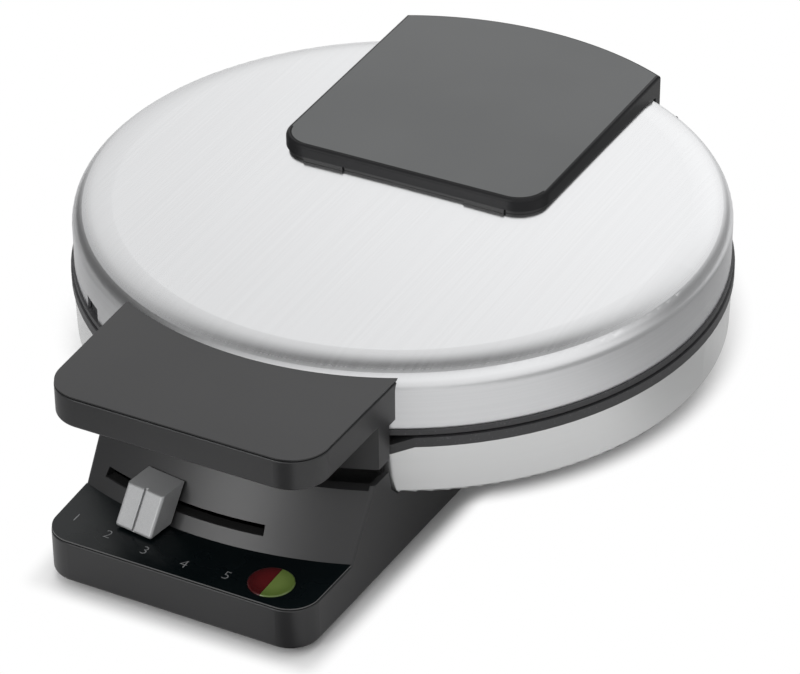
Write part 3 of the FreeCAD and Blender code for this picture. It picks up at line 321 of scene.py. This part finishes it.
# %% Floor sheet
FLOOR_HALF = 3.0
bm = bmesh.new()
bmesh.ops.create_grid(bm, x_segments=1, y_segments=1, size=FLOOR_HALF)
floor = object_from(bm, "floor")
sheet = bpy.data.materials.new("floor_sheet")
sheet.use_nodes = True
sheet.node_tree.nodes.clear()
floor.data.materials.append(sheet)
wire = Wire(sheet.node_tree)
x, y, _ = split(object_place(wire))
print("floor", 2 * FLOOR_HALF, "m square")

# %% Floor shadow
BASE_HALF_X = 46.2 * MM
BASE_TAPER = 0.039
BASE_HALF_Y = 121 * MM
BASE_SHADE = 7.5 * MM
PAN_R = 99.5 * MM
PAN_LOW = 24.2 * MM
PAN_SHADE = 10 * MM
joints = {joint["name"]: joint for joint in frame["record"]["behaviour"]["joints"]}
PLATE_AXIS = Vector(joints["temperature_slider"]["pos_m"])
over_x = largest(abs(x) - (BASE_HALF_X + y * BASE_TAPER), 0.0)
over_y = largest(abs(y) - BASE_HALF_Y, 0.0)
pan_seen = PLATE_AXIS - Vector((back.x, back.y, 0)) * (PAN_LOW / back.z)
from_base = flat_distance(over_x, over_y)
from_pan = flat_distance(x - pan_seen.x, y - pan_seen.y) - PAN_R
clear = fade(from_base, 0.0, BASE_SHADE) * fade(from_pan, 0.0, PAN_SHADE)
print("shadow ends", BASE_SHADE / MM, "mm from the base and", PAN_SHADE / MM, "mm from the pan")

# %% Floor cards
FAR_SIDE = (100 * MM, 175 * MM)
FAR_END = (50 * MM, 95 * MM)
REAR_SIDE = (150 * MM, 230 * MM)
REAR_END = (260 * MM, 400 * MM)
NEAR_SIDE = (85 * MM, 130 * MM)
NEAR_START = (-110 * MM, -50 * MM)
NEAR_END = (-25 * MM, 25 * MM)
NEAR_WEIGHT = 0.65
STRIP_CORNER = Vector((38 * MM, -112 * MM, 0))
STRIP_SPREAD = 0.45
STRIP_EDGE = 5 * MM
STRIP_WEIGHT = 1.65
across = x * level.x + (y - PLATE_AXIS.y) * level.y
behind = (y - PLATE_AXIS.y) * level.x - x * level.y
far = fade(abs(across), *FAR_SIDE) * (1 - fade(behind, *FAR_END))
rear = fade(0 - across, *REAR_SIDE) * (1 - fade(behind, *REAR_END))
near = fade(across, *NEAR_SIDE) * fade(behind, *NEAR_START) * (1 - fade(behind, *NEAR_END))
before = STRIP_CORNER.y - y
beside = abs(x - STRIP_CORNER.x) - before * STRIP_SPREAD
strip = fade(before, 0.0, STRIP_EDGE) * (1 - fade(beside, -STRIP_EDGE, STRIP_EDGE))
cards = largest(near * NEAR_WEIGHT, far, rear, strip * STRIP_WEIGHT)
print("floor sheet has", len(sheet.node_tree.nodes), "nodes for its shadow and cards")

# %% Floor shader
FLOOR_GREY = 0.66
FLOOR_WHITE = 0.95
CARD_GREY = 0.26
camera_ray = wire.node("ShaderNodeLightPath", output="Is Camera Ray")
card = cards * camera_ray.other("Is Glossy Ray")
grey = FLOOR_GREY + card * (CARD_GREY - FLOOR_GREY) + camera_ray * (FLOOR_WHITE - FLOOR_GREY)
matt = wire.node("ShaderNodeBsdfDiffuse", inputs={"Color": grey})
white = wire.node("ShaderNodeEmission", inputs={"Color": (1, 1, 1, 1), "Strength": 1.0})
surface = wire.node("ShaderNodeMixShader", inputs={0: clear * camera_ray, 1: matt, 2: white})
wire.node("ShaderNodeOutputMaterial", inputs={"Surface": surface})
print("floor grey", FLOOR_GREY, "with cards of", CARD_GREY)

# %% [markdown]
# Finishes come next. Each one is a short recipe: a function that draws its pattern and returns
# what goes into the principled shader. What varies over the surface is linked to colour, roughness
# or the normal only. Everything else is a plain number on the shader's own socket.

# %% Finish helpers
dressed = set()


def finish(name, recipe, **fixed):
    """A principled material whose varying inputs come from a recipe."""
    material = bpy.data.materials.new(name)
    material.use_nodes = True
    material.node_tree.nodes.clear()
    wire = Wire(material.node_tree)
    inputs = {key.replace("_", " "): value for key, value in fixed.items()}
    inputs.update(recipe(wire))
    shader = wire.node("ShaderNodeBsdfPrincipled", inputs=inputs)
    wire.node("ShaderNodeOutputMaterial", inputs={"Surface": shader})
    return material


def dress(material, *nodes):
    """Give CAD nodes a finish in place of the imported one."""
    for node in nodes:
        materials = frame["nodes"][node].data.materials
        materials.clear()
        materials.append(material)
        dressed.add(node)
    print(material.name, "on", ", ".join(nodes))


print("nodes to dress:", len(frame["nodes"]))

# %% [markdown]
# Most patterns are noise, read in the object's own metres, so a scale of 1000 gives grains of
# about a millimetre. Stretching the space along one axis turns grains into brushed lines. Noise
# keeps near its mean of a half, so where a pattern should use both of its colours, the middle is
# spread out.

# %% Noise and relief
MICRON = 1e-6
NOISE_MIDDLE = (0.3, 0.7)


def noise(wire, scale, detail=2.0, stretch=None, place=None):
    """Noise between 0 and 1 with a mean of a half."""
    place = place or object_place(wire)
    if stretch:
        place = wire.node("ShaderNodeMapping", inputs={"Vector": place, "Scale": stretch})
    return wire.node("ShaderNodeTexNoise",
                     inputs={"Vector": place, "Scale": scale, "Detail": detail})


def spread(pattern):
    """Noise whose middle range is spread from 0 to 1."""
    return fade(pattern, *NOISE_MIDDLE)


def relief(wire, pattern, depth):
    """A normal that stands up by depth, in metres, where the pattern is 1."""
    return wire.node("ShaderNodeBump",
                     inputs={"Height": pattern, "Distance": depth, "Strength": 1.0})


print("noise and relief ready")

# %% [markdown]
# The lid and the pan are brushed stainless steel. The top of the lid is brushed straight, from
# front to rear, while the turned sides are brushed round the axis. Polar coordinates give the
# second kind: lines are long in the angle and close together in height. A mask on the radius parts
# the two, and another makes the rolled shoulder between them duller.

# %% Brushing
LID_R = 97 * MM
BRUSH_LINES = 1500.0
BRUSH_LENGTH = 10.0


def around(wire):
    """Radius, turn and height of a point about the axis of the round halves."""
    x, y, height = split(object_place(wire))
    y = y - PLATE_AXIS.y
    return flat_distance(x, y), wire.math("ARCTAN2", x, y), height


def turned_lines(wire, turn, height):
    """Brushed lines that run round the axis."""
    place = wire.node("ShaderNodeCombineXYZ", inputs={
        "X": turn * (LID_R * BRUSH_LENGTH), "Y": height * BRUSH_LINES})
    return noise(wire, scale=1.0, detail=3.0, place=place)


def brushed(wire, lines, dark, light, rough):
    """Steel whose shade follows brushed lines, with a faint cloud of handling over them."""
    cloud = noise(wire, scale=14.0, detail=3.0)
    return {"Base Color": blend(spread(lines * 0.7 + cloud * 0.3), dark, light),
            "Roughness": rough + cloud * 0.05}


print("brushed lines", round(1 / BRUSH_LINES / MM, 2), "mm apart")

# %% Lid
SIDE_START = (94.5 * MM, 96.2 * MM)
SHOULDER_START = (91 * MM, 95 * MM)
SHOULDER_DULL = 0.12


def lid_steel(wire):
    radius, turn, height = around(wire)
    straight = noise(wire, scale=1.0, detail=3.0,
                     stretch=(BRUSH_LINES, BRUSH_LENGTH, BRUSH_LENGTH))
    side = fade(radius, *SIDE_START)
    lines = straight + (turned_lines(wire, turn, height) - straight) * side
    dull = fade(radius, *SHOULDER_START) * SHOULDER_DULL
    inputs = brushed(wire, lines, dark=(0.83, 0.835, 0.845), light=(0.865, 0.87, 0.88), rough=0.17)
    inputs["Roughness"] = inputs["Roughness"] + lines * 0.06 + dull
    inputs["Normal"] = relief(wire, lines, 0.8 * MICRON)
    return inputs


dress(finish("brushed_lid", lid_steel, Metallic=1.0), "lid_shell")

# %% [markdown]
# The pan is polished finer than the lid, so its lines only tint it and leave its sheen smooth.
# They are also coarser. Lines in the roughness or the bump would break its reflections into
# streaks.

# %% Pan
PAN_COARSER = 0.4


def pan_steel(wire):
    _, turn, height = around(wire)
    lines = turned_lines(wire, turn, height * PAN_COARSER)
    return brushed(wire, lines, dark=(0.825, 0.83, 0.83), light=(0.85, 0.855, 0.855), rough=0.24)


dress(finish("brushed_pan", pan_steel, Metallic=1.0), "lower_shell")

# %% [markdown]
# The base and the handle are moulded in a dark thermoplastic with a fine eroded texture, which is
# what gives it a satin look. The plastic itself is nearly black, and its grey comes from the
# sheen. A slow cloud keeps large faces from looking painted, and the fine grain sits in bump and
# roughness.

# %% Moulded plastic
GRAIN = 2400.0


def moulded(dark, light, rough):
    """Recipe for a textured plastic between two shades."""
    def recipe(wire):
        grain = noise(wire, scale=GRAIN, detail=1.0)
        cloud = noise(wire, scale=16.0, detail=3.0)
        return {"Base Color": blend(spread(cloud), dark, light),
                "Roughness": rough + grain * 0.08 + cloud * 0.06,
                "Normal": relief(wire, grain, 6 * MICRON)}
    return recipe


shell = moulded(dark=(0.024, 0.024, 0.025), light=(0.030, 0.030, 0.031), rough=0.26)
cap = moulded(dark=(0.022, 0.022, 0.023), light=(0.027, 0.027, 0.028), rough=0.28)
dress(finish("dark_plastic", shell), "bottom_cover", "handle_body")
dress(finish("panel_plastic", cap), "handle_cap")

# %% [markdown]
# The base has the same plastic, but the walls of the slot for the slider are coloured black, which
# is painted shade. Its walls lie behind the cone of the control face. So the shader works out how
# deep a point lies behind that cone, and paints the plastic black and duller there as painted
# shade.

# %% Base with painted shade in the slot
FACE_FOOT_R = 119.8 * MM
FACE_FOOT_Z = 16.1 * MM
FACE_SLOPE = math.tan(math.radians(32.5))
SLOT_DEEP = (0.2 * MM, 0.7 * MM)
SLOT_HIGH = (1.8 * MM, 2.16 * MM)
SLOT_WIDE = (36 * MM, 37 * MM)
SLOT_REAR = (-1 * MM, 0.0)
SLOT_SHADE_BLACK = (0.001, 0.001, 0.001)
SLOT_DULL = 0.6


def slotted(wire):
    inputs = shell(wire)
    radius, _, height = around(wire)
    x, y, _ = split(object_place(wire))
    depth = FACE_FOOT_R - (height - FACE_FOOT_Z) * FACE_SLOPE - radius
    # The slot's walls are coloured black here: painted shade in the recess.
    slot_shade = fade(depth, *SLOT_DEEP) * (1 - fade(abs(height - PLATE_AXIS.z), *SLOT_HIGH))
    slot_shade = slot_shade * (1 - fade(abs(x), *SLOT_WIDE)) * (1 - fade(y, *SLOT_REAR))
    inputs["Base Color"] = blend(slot_shade, inputs["Base Color"], SLOT_SHADE_BLACK)
    inputs["Roughness"] = inputs["Roughness"] + slot_shade * SLOT_DULL
    return inputs


dress(finish("base_plastic", slotted), "base_housing")

# %% [markdown]
# The pad over the hinge has a paler top panel, and along its front a fine groove parts it from the
# rim. The rim is coloured darker than the same plastic elsewhere, which is painted shade on the
# pad's sides, and the groove is coloured near-black, which is painted shade in it. CAD has the pad
# in one piece with a rounded rim. A copy of it is merged, its flat top is dissolved into one face
# and inset, and the front of the ring that this leaves is pushed down. The lid in the photograph
# does not mirror the pad, so the pad is hidden from glossy rays.

# %% Pad with a groove
GROOVE_WIDTH = 0.5 * MM
GROOVE_DEPTH = 0.5 * MM
GROOVE_REACH = 9 * MM
MERGE = 0.001 * MM
PAD_SMOOTH = math.radians(30)
SHADED_RIM, PANEL, SHADED_GROOVE = range(3)


def verts_of(geometry):
    """The vertices in what an operator returns."""
    return [item for item in geometry if isinstance(item, bmesh.types.BMVert)]


bm = bmesh.new()
bm.from_mesh(frame["nodes"]["hinge_cover"].data)
bmesh.ops.remove_doubles(bm, verts=bm.verts, dist=MERGE)
pad_top = max(vert.co.z for vert in bm.verts)
flat = [face for face in bm.faces if all(pad_top - vert.co.z < MERGE for vert in face.verts)]
panel = bmesh.ops.dissolve_faces(bm, faces=flat)["region"]
ring = bmesh.ops.inset_region(bm, faces=panel, thickness=GROOVE_WIDTH)["faces"]
groove_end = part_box("hinge_cover")[0][1] + GROOVE_REACH
groove = [face for face in ring if face.calc_center_median().y < groove_end]
for face in panel + ring:
    face.material_index = PANEL
for face in groove:
    face.material_index = SHADED_GROOVE
sunk = bmesh.ops.extrude_face_region(bm, geom=groove)["geom"]
bmesh.ops.translate(bm, vec=(0, 0, -GROOVE_DEPTH), verts=verts_of(sunk))
pad = object_from(bm, "grooved_pad", PAD_SMOOTH)
if "custom_normal" in pad.data.attributes:
    pad.data.attributes.remove(pad.data.attributes["custom_normal"])
pad.visible_glossy = False
print("pad:", len(flat), "flat triangles became", len(panel), "panel")
print("groove faces:", len(groove))

# %% Pad finishes
# The rim's finish is darker than this plastic elsewhere, painted shade on the pad's sides. The
# groove's near-black finish is painted shade in the groove.
pad_recipes = {
    SHADED_RIM: moulded(dark=(0.009, 0.009, 0.010), light=(0.013, 0.013, 0.014), rough=0.34),
    PANEL: moulded(dark=(0.069, 0.072, 0.073), light=(0.080, 0.083, 0.084), rough=0.30),
    SHADED_GROOVE: moulded(dark=(0.002, 0.002, 0.002), light=(0.004, 0.004, 0.004), rough=0.7),
}
pad.data.materials.append(finish("pad_rim_shade", pad_recipes[SHADED_RIM], Specular_IOR_Level=0.25))
pad.data.materials.append(finish("pad_panel", pad_recipes[PANEL]))
pad.data.materials.append(finish("groove_shade", pad_recipes[SHADED_GROOVE]))
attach(pad, "lid")
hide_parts("hinge_cover")
dressed.add("hinge_cover")
print("pad finishes:", ", ".join(material.name for material in pad.data.materials))

# %% [markdown]
# The plate on the ledge is a glossy black plastic. Seen across the room it is black, and at its
# left end it mirrors the sweep. Real gloss is never perfect, so its roughness and its black wander
# with faint smudges. Its upright edges, found by the normal, are coloured a lighter grey, which is
# a painted highlight.

# %% Gloss plate
EDGE_UPRIGHT = (0.3, 0.9)
EDGE_HIGHLIGHT_GREY = (0.11, 0.11, 0.11)


def glossy(wire):
    smudge = noise(wire, scale=45.0, detail=4.0)
    peel = noise(wire, scale=700.0, detail=1.0)
    _, _, upright = split(wire.node("ShaderNodeTexCoord", output="Normal"))
    black = blend(smudge, (0.0016, 0.0036, 0.0042), (0.0026, 0.0050, 0.0060))
    # Upright edges are coloured a lighter grey: a painted highlight along the edges.
    return {"Base Color": blend(fade(upright, *EDGE_UPRIGHT), EDGE_HIGHLIGHT_GREY, black),
            "Roughness": 0.24 + fade(smudge, 0.4, 0.75) * 0.10,
            "Normal": relief(wire, peel, 2 * MICRON)}


dress(finish("black_gloss", glossy, Specular_IOR_Level=0.33), "scale_plate")

# %% [markdown]
# The numbers of the temperature scale are printed on the plate in thin light strokes, on an arc
# about the slider's axis. A text object is the natural start. Thinning its outline gives the fine
# strokes, and it is made a mesh before it is put in its place, so that its object stays at the
# origin.

# %% Scale numbers
MARK_R = 132.8 * MM
MARK_ANGLES = (-15.8, -10.5, -4.9, 0.6, 6.2)
MARK_SIZE = 5.0 * MM
MARK_INK = 0.03 * MM
MARK_THINNER = 0.09 * MM
plate_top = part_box("scale_plate")[1][2]


def ink(wire):
    worn = noise(wire, scale=1800.0, detail=2.0)
    shade = fade(worn, 0.35, 0.75)
    return {"Base Color": blend(shade, (0.26, 0.265, 0.27), (0.15, 0.155, 0.16)),
            "Roughness": 0.5 + worn * 0.1}


scale_ink = finish("scale_ink", ink)
for number, angle in enumerate(MARK_ANGLES, start=1):
    text = bpy.data.curves.new("number", "FONT")
    text.body = str(number)
    text.size = MARK_SIZE
    text.align_x = "CENTER"
    text.align_y = "CENTER"
    text.extrude = MARK_INK
    text.offset = -MARK_THINNER
    drawn = bpy.data.objects.new("number", text)
    mesh = bpy.data.meshes.new_from_object(drawn)
    turn = math.radians(angle)
    mesh.transform(Matrix.Translation((PLATE_AXIS.x + MARK_R * math.sin(turn),
                                       PLATE_AXIS.y - MARK_R * math.cos(turn), plate_top)))
    mesh.materials.clear()
    mesh.materials.append(scale_ink)
    mark = bpy.data.objects.new(f"scale_number_{number}", mesh)
    bpy.context.scene.collection.objects.link(mark)
    bpy.data.objects.remove(drawn)
    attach(mark, "base")
print("numbers 1 to", len(MARK_ANGLES), "on an arc of", round(MARK_R / MM, 1), "mm")

# %% [markdown]
# The slider's grip is silver plastic: a pale grey with metal flakes in it. Flakes are far smaller
# than a pixel, so a fine noise on the colour and a little metallic weight are enough.

# %% Slider grip
def flaked(wire):
    flakes = noise(wire, scale=5200.0, detail=0.0)
    cloud = noise(wire, scale=60.0, detail=2.0)
    shade = spread(flakes * 0.7 + cloud * 0.3)
    return {"Base Color": blend(shade, (0.41, 0.415, 0.42), (0.50, 0.505, 0.51)),
            "Roughness": 0.36 + cloud * 0.08,
            "Normal": relief(wire, flakes, 3 * MICRON)}


dress(finish("silver_plastic", flaked, Metallic=0.35), "slider_knob")

# %% [markdown]
# The round indicator has a red and a green half, each a clear tinted cap. On its underside such a
# cap has small prisms that spread the lamp's light. Two crossed sine waves draw them as a diamond
# bump and also make their crests paler in colour, which is a painted glint. The colour is paler in
# the middle and deeper towards the rim, which is a painted glow.

# %% Indicator halves
PRISM_PITCH = 0.9 * MM
PRISM_PAINTED_GLINT = 0.35
LENS_R = 6.6 * MM
LENS_COAT = 0.3
red_box, green_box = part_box("red_lens"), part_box("green_lens")
lens_x = (red_box[1][0] + green_box[0][0]) / 2
lens_y = (red_box[0][1] + red_box[1][1]) / 2


def tinted(deep, pale):
    """Recipe for one tinted half."""
    def recipe(wire):
        x, y, _ = split(object_place(wire))
        x, y = x - lens_x, y - lens_y
        turns = 2 * math.pi / PRISM_PITCH
        prisms = wire.math("SINE", (x + y) * turns) * wire.math("SINE", (x - y) * turns)
        # Paler in the middle than at the rim: a painted glow.
        rim = fade(flat_distance(x, y), 0.3 * LENS_R, LENS_R)
        # Paler colour on the prisms' crests: a painted glint.
        painted_glint = fade(prisms, -0.6, 0.9) * PRISM_PAINTED_GLINT
        return {"Base Color": blend(rim + painted_glint * (1 - rim), pale, deep),
                "Roughness": 0.16 + rim * 0.06,
                "Normal": relief(wire, prisms, 4 * MICRON)}
    return recipe


red = tinted(deep=(0.060, 0.006, 0.007), pale=(0.115, 0.011, 0.012))
green = tinted(deep=(0.105, 0.160, 0.034), pale=(0.180, 0.255, 0.065))
dress(finish("red_glow", red, Coat_Weight=LENS_COAT), "red_lens")
dress(finish("green_glow", green, Coat_Weight=LENS_COAT), "green_lens")

# %% [markdown]
# The waffle plates are cast aluminium under a dark non-stick coat. Closed, only their two rims
# show as rings between lid and pan. Open, the coat shows its fleck: small light specks in a dark
# ground. A threshold on fine noise leaves such specks.

# %% Cast plates
FLECK = (0.66, 0.72)


def coated(wire):
    fleck = fade(noise(wire, scale=1500.0, detail=1.0), *FLECK)
    cloud = noise(wire, scale=30.0, detail=3.0)
    cast = noise(wire, scale=420.0, detail=3.0)
    shade = fleck * 0.6 + cloud * 0.2
    return {"Base Color": blend(shade, (0.042, 0.042, 0.044), (0.105, 0.105, 0.11)),
            "Roughness": 0.38 + cloud * 0.10 + cast * 0.06,
            "Normal": relief(wire, cast, 16 * MICRON)}


dress(finish("cast_plate", coated), "lower_waffle_plate", "upper_waffle_plate")

# %% [markdown]
# The hinge strap is black-painted steel sheet, and the pins and screws are zinc plated. Plating
# has a cloudy bluish and yellowish cast, and paint has a slight orange peel.

# %% Painted and plated steel
def painted(wire):
    peel = noise(wire, scale=900.0, detail=2.0)
    cloud = noise(wire, scale=40.0, detail=3.0)
    return {"Base Color": blend(cloud, (0.014, 0.014, 0.014), (0.024, 0.024, 0.024)),
            "Roughness": 0.36 + cloud * 0.12,
            "Normal": relief(wire, peel, 8 * MICRON)}


def plated(wire):
    cloud = noise(wire, scale=160.0, detail=3.0)
    scratches = noise(wire, scale=1.0, detail=2.0, stretch=(300.0, 2600.0, 300.0))
    return {"Base Color": blend(spread(cloud), (0.52, 0.54, 0.57), (0.62, 0.60, 0.54)),
            "Roughness": 0.28 + cloud * 0.12 + scratches * 0.06,
            "Normal": relief(wire, scratches, 4 * MICRON)}


zinc = finish("plated_steel", plated, Metallic=1.0)
dress(finish("strap_steel", painted), "hinge_frame")
dress(zinc, "hinge_pins", "hinge_screws", "handle_screws", "lower_plate_screws", "slider_lever",
      "thermostat_spindle", "thermostat_body", "thermostat_bracket", "thermal_fuse", "fuse_clip")

# %% [markdown]
# Four screws hold the bottom cover, and their heads show on the underside. Each gets a cross
# recess. A filled circle is cut along eight lines, which leaves the cells of the cross free to be
# pushed in. The rim is then drawn back to the head's thickness, and a plain shank follows inside
# the post.

# %% One screw
SCREW_HEAD_R = 2.95 * MM
SCREW_HEAD = 1.5 * MM
SCREW_EDGE = 0.35 * MM
SCREW_SHANK_R = 1.4 * MM
CROSS_HALF = 0.42 * MM
CROSS_REACH = 1.75 * MM
CROSS_DEPTH = 0.9 * MM
CROSS_TAPER = 0.8
screws_low, screws_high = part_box("bottom_screws")
shank = screws_high[2] - screws_low[2] - SCREW_HEAD


def open_edges(bm):
    """Edges with a face on one side only."""
    return [edge for edge in bm.edges if edge.is_boundary]


def cross_screw():
    """A screw with its head's face at height 0, looking up."""
    bm = bmesh.new()
    bmesh.ops.create_circle(bm, cap_ends=True, radius=SCREW_HEAD_R, segments=40)
    for axis in (Vector((1, 0, 0)), Vector((0, 1, 0))):
        for reach in (-CROSS_REACH, -CROSS_HALF, CROSS_HALF, CROSS_REACH):
            bmesh.ops.bisect_plane(bm, geom=bm.verts[:] + bm.edges[:] + bm.faces[:],
                                   plane_co=axis * reach, plane_no=axis)
    cross = []
    for face in bm.faces:
        near, far = sorted(abs(c) for c in face.calc_center_median().xy)
        if near < CROSS_HALF and far < CROSS_REACH:
            cross.append(face)
    rim = open_edges(bm)
    sunk = verts_of(bmesh.ops.extrude_face_region(bm, geom=cross)["geom"])
    bmesh.ops.translate(bm, vec=(0, 0, -CROSS_DEPTH), verts=sunk)
    bmesh.ops.scale(bm, vec=(CROSS_TAPER, CROSS_TAPER, 1), verts=sunk)
    drawn = verts_of(bmesh.ops.extrude_edge_only(bm, edges=rim)["geom"])
    bmesh.ops.translate(bm, vec=(0, 0, -SCREW_HEAD), verts=drawn)
    bmesh.ops.bevel(bm, geom=rim, offset=SCREW_EDGE, segments=3, profile=0.5,
                    affect="EDGES", material=-1)
    bmesh.ops.holes_fill(bm, edges=open_edges(bm))
    bmesh.ops.create_cone(bm, cap_ends=True, segments=24, depth=shank,
                          radius1=SCREW_SHANK_R, radius2=SCREW_SHANK_R,
                          matrix=Matrix.Translation((0, 0, -SCREW_HEAD - shank / 2)))
    bmesh.ops.recalc_face_normals(bm, faces=bm.faces)
    return bm


print("screw shank", round(shank / MM, 2), "mm long")

# %% Bottom screws
SCREW_PLACES = [(-35.64, -77.95), (35.64, -77.95), (-42.46, 97.05), (42.46, 97.05)]
SMOOTH = math.radians(35)
upside_down = Matrix.Rotation(math.pi, 4, "X")
bm = bmesh.new()
for x, y in SCREW_PLACES:
    place = Matrix.Translation((x * MM, y * MM, screws_low[2]))
    one = cross_screw()
    bmesh.ops.transform(one, verts=one.verts, matrix=place @ upside_down)
    mesh = bpy.data.meshes.new("one_screw")
    one.to_mesh(mesh)
    one.free()
    bm.from_mesh(mesh)
    bpy.data.meshes.remove(mesh)
screws = object_from(bm, "cross_screws", SMOOTH)
screws.data.materials.append(zinc)
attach(screws, "base")
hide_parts("bottom_screws")
dressed.add("bottom_screws")
print("screws:", len(SCREW_PLACES), "faces", len(screws.data.polygons))

# %% [markdown]
# The feet are soft rubber buttons with a rounded rim and a shallow hollow, so that they grip like
# a suction cup. A disc is inset and pushed in for the hollow, and its rim is bevelled. A plug
# above it holds the foot in the cover.

# %% Rubber feet
FOOT_PLACES = [(-30.82, -98.95), (30.82, -98.95), (-38.94, 109.25), (38.94, 109.25)]
FOOT_R = 7.0 * MM
FOOT_HEIGHT = 2.0 * MM
FOOT_EDGE = 0.7 * MM
FOOT_RIM = 1.6 * MM
FOOT_HOLLOW = 0.6 * MM
PLUG_R = 2.9 * MM
SIDE_CORNERS = 4
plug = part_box("rubber_feet")[1][2] - FOOT_HEIGHT
bm = bmesh.new()
for x, y in FOOT_PLACES:
    middle = Matrix.Translation((x * MM, y * MM, FOOT_HEIGHT / 2))
    disc = bmesh.ops.create_cone(bm, cap_ends=True, segments=64, radius1=FOOT_R, radius2=FOOT_R,
                                 depth=FOOT_HEIGHT, matrix=middle)["verts"]
    caps = {face for vert in disc for face in vert.link_faces if len(face.verts) > SIDE_CORNERS}
    sole = min(caps, key=lambda face: face.calc_center_median().z)
    rim = list(sole.edges)
    for width in (FOOT_RIM, FOOT_HOLLOW):
        bmesh.ops.inset_region(bm, faces=[sole], thickness=width)
    bmesh.ops.translate(bm, vec=(0, 0, FOOT_HOLLOW), verts=sole.verts)
    bmesh.ops.bevel(bm, geom=rim, offset=FOOT_EDGE, segments=4, profile=0.5,
                    affect="EDGES", material=-1)
    above = Matrix.Translation((x * MM, y * MM, FOOT_HEIGHT + plug / 2))
    bmesh.ops.create_cone(bm, cap_ends=True, segments=32, radius1=PLUG_R, radius2=PLUG_R,
                          depth=plug, matrix=above)
feet = object_from(bm, "soft_feet", SMOOTH)
print("feet:", len(FOOT_PLACES), "faces", len(feet.data.polygons))

# %% Rubber
def rubber(wire):
    dust = noise(wire, scale=120.0, detail=4.0)
    skin = noise(wire, scale=1600.0, detail=2.0)
    shade = fade(dust, 0.4, 0.8)
    return {"Base Color": blend(shade, (0.016, 0.016, 0.016), (0.040, 0.039, 0.037)),
            "Roughness": 0.66 + dust * 0.16,
            "Normal": relief(wire, skin, 15 * MICRON)}


foot_rubber = finish("foot_rubber", rubber)
feet.data.materials.append(foot_rubber)
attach(feet, "base")
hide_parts("rubber_feet")
dressed.add("rubber_feet")
dress(foot_rubber, "cord_grommet")

# %% [markdown]
# The insides show only when the model is taken apart, but they are finished as well. The tubular
# elements are dull with a heat tint, the shields are bright rolled sheet, the block and the lamp
# holder are a pale mottled resin, and the two lamps are small glass bulbs.

# %% Insides
def heat_tinted(wire):
    tint = noise(wire, scale=35.0, detail=3.0)
    scale = noise(wire, scale=900.0, detail=2.0)
    return {"Base Color": blend(spread(tint), (0.16, 0.155, 0.15), (0.27, 0.225, 0.18)),
            "Roughness": 0.42 + scale * 0.16,
            "Normal": relief(wire, scale, 10 * MICRON)}


def rolled(wire):
    lines = noise(wire, scale=1.0, detail=3.0, stretch=(12.0, 1300.0, 12.0))
    cloud = noise(wire, scale=22.0, detail=3.0)
    return {"Base Color": blend(lines, (0.66, 0.66, 0.67), (0.80, 0.80, 0.80)),
            "Roughness": 0.24 + lines * 0.10 + cloud * 0.10,
            "Normal": relief(wire, lines, 5 * MICRON)}


def resin(wire):
    mottle = noise(wire, scale=260.0, detail=4.0)
    return {"Base Color": blend(spread(mottle), (0.50, 0.47, 0.39), (0.62, 0.60, 0.52)),
            "Roughness": 0.50 + mottle * 0.14,
            "Normal": relief(wire, mottle, 20 * MICRON)}


def bulb(wire):
    cloud = noise(wire, scale=300.0, detail=2.0)
    return {"Base Color": blend(cloud, (0.92, 0.66, 0.36), (0.95, 0.80, 0.58)),
            "Roughness": 0.04 + cloud * 0.05}


element_steel = finish("element_steel", heat_tinted, Metallic=0.8)
dress(element_steel, "lower_heating_element", "upper_heating_element")
dress(finish("shield_sheet", rolled, Metallic=1.0), "lower_heat_shield", "upper_heat_shield")
dress(finish("block_plastic", resin), "terminal_block", "lamp_holder")
dress(finish("lamp_glass", bulb, Transmission_Weight=0.8, IOR=1.5), "indicator_lamps")
print("nodes still undressed:", sorted(set(frame["nodes"]) - dressed))
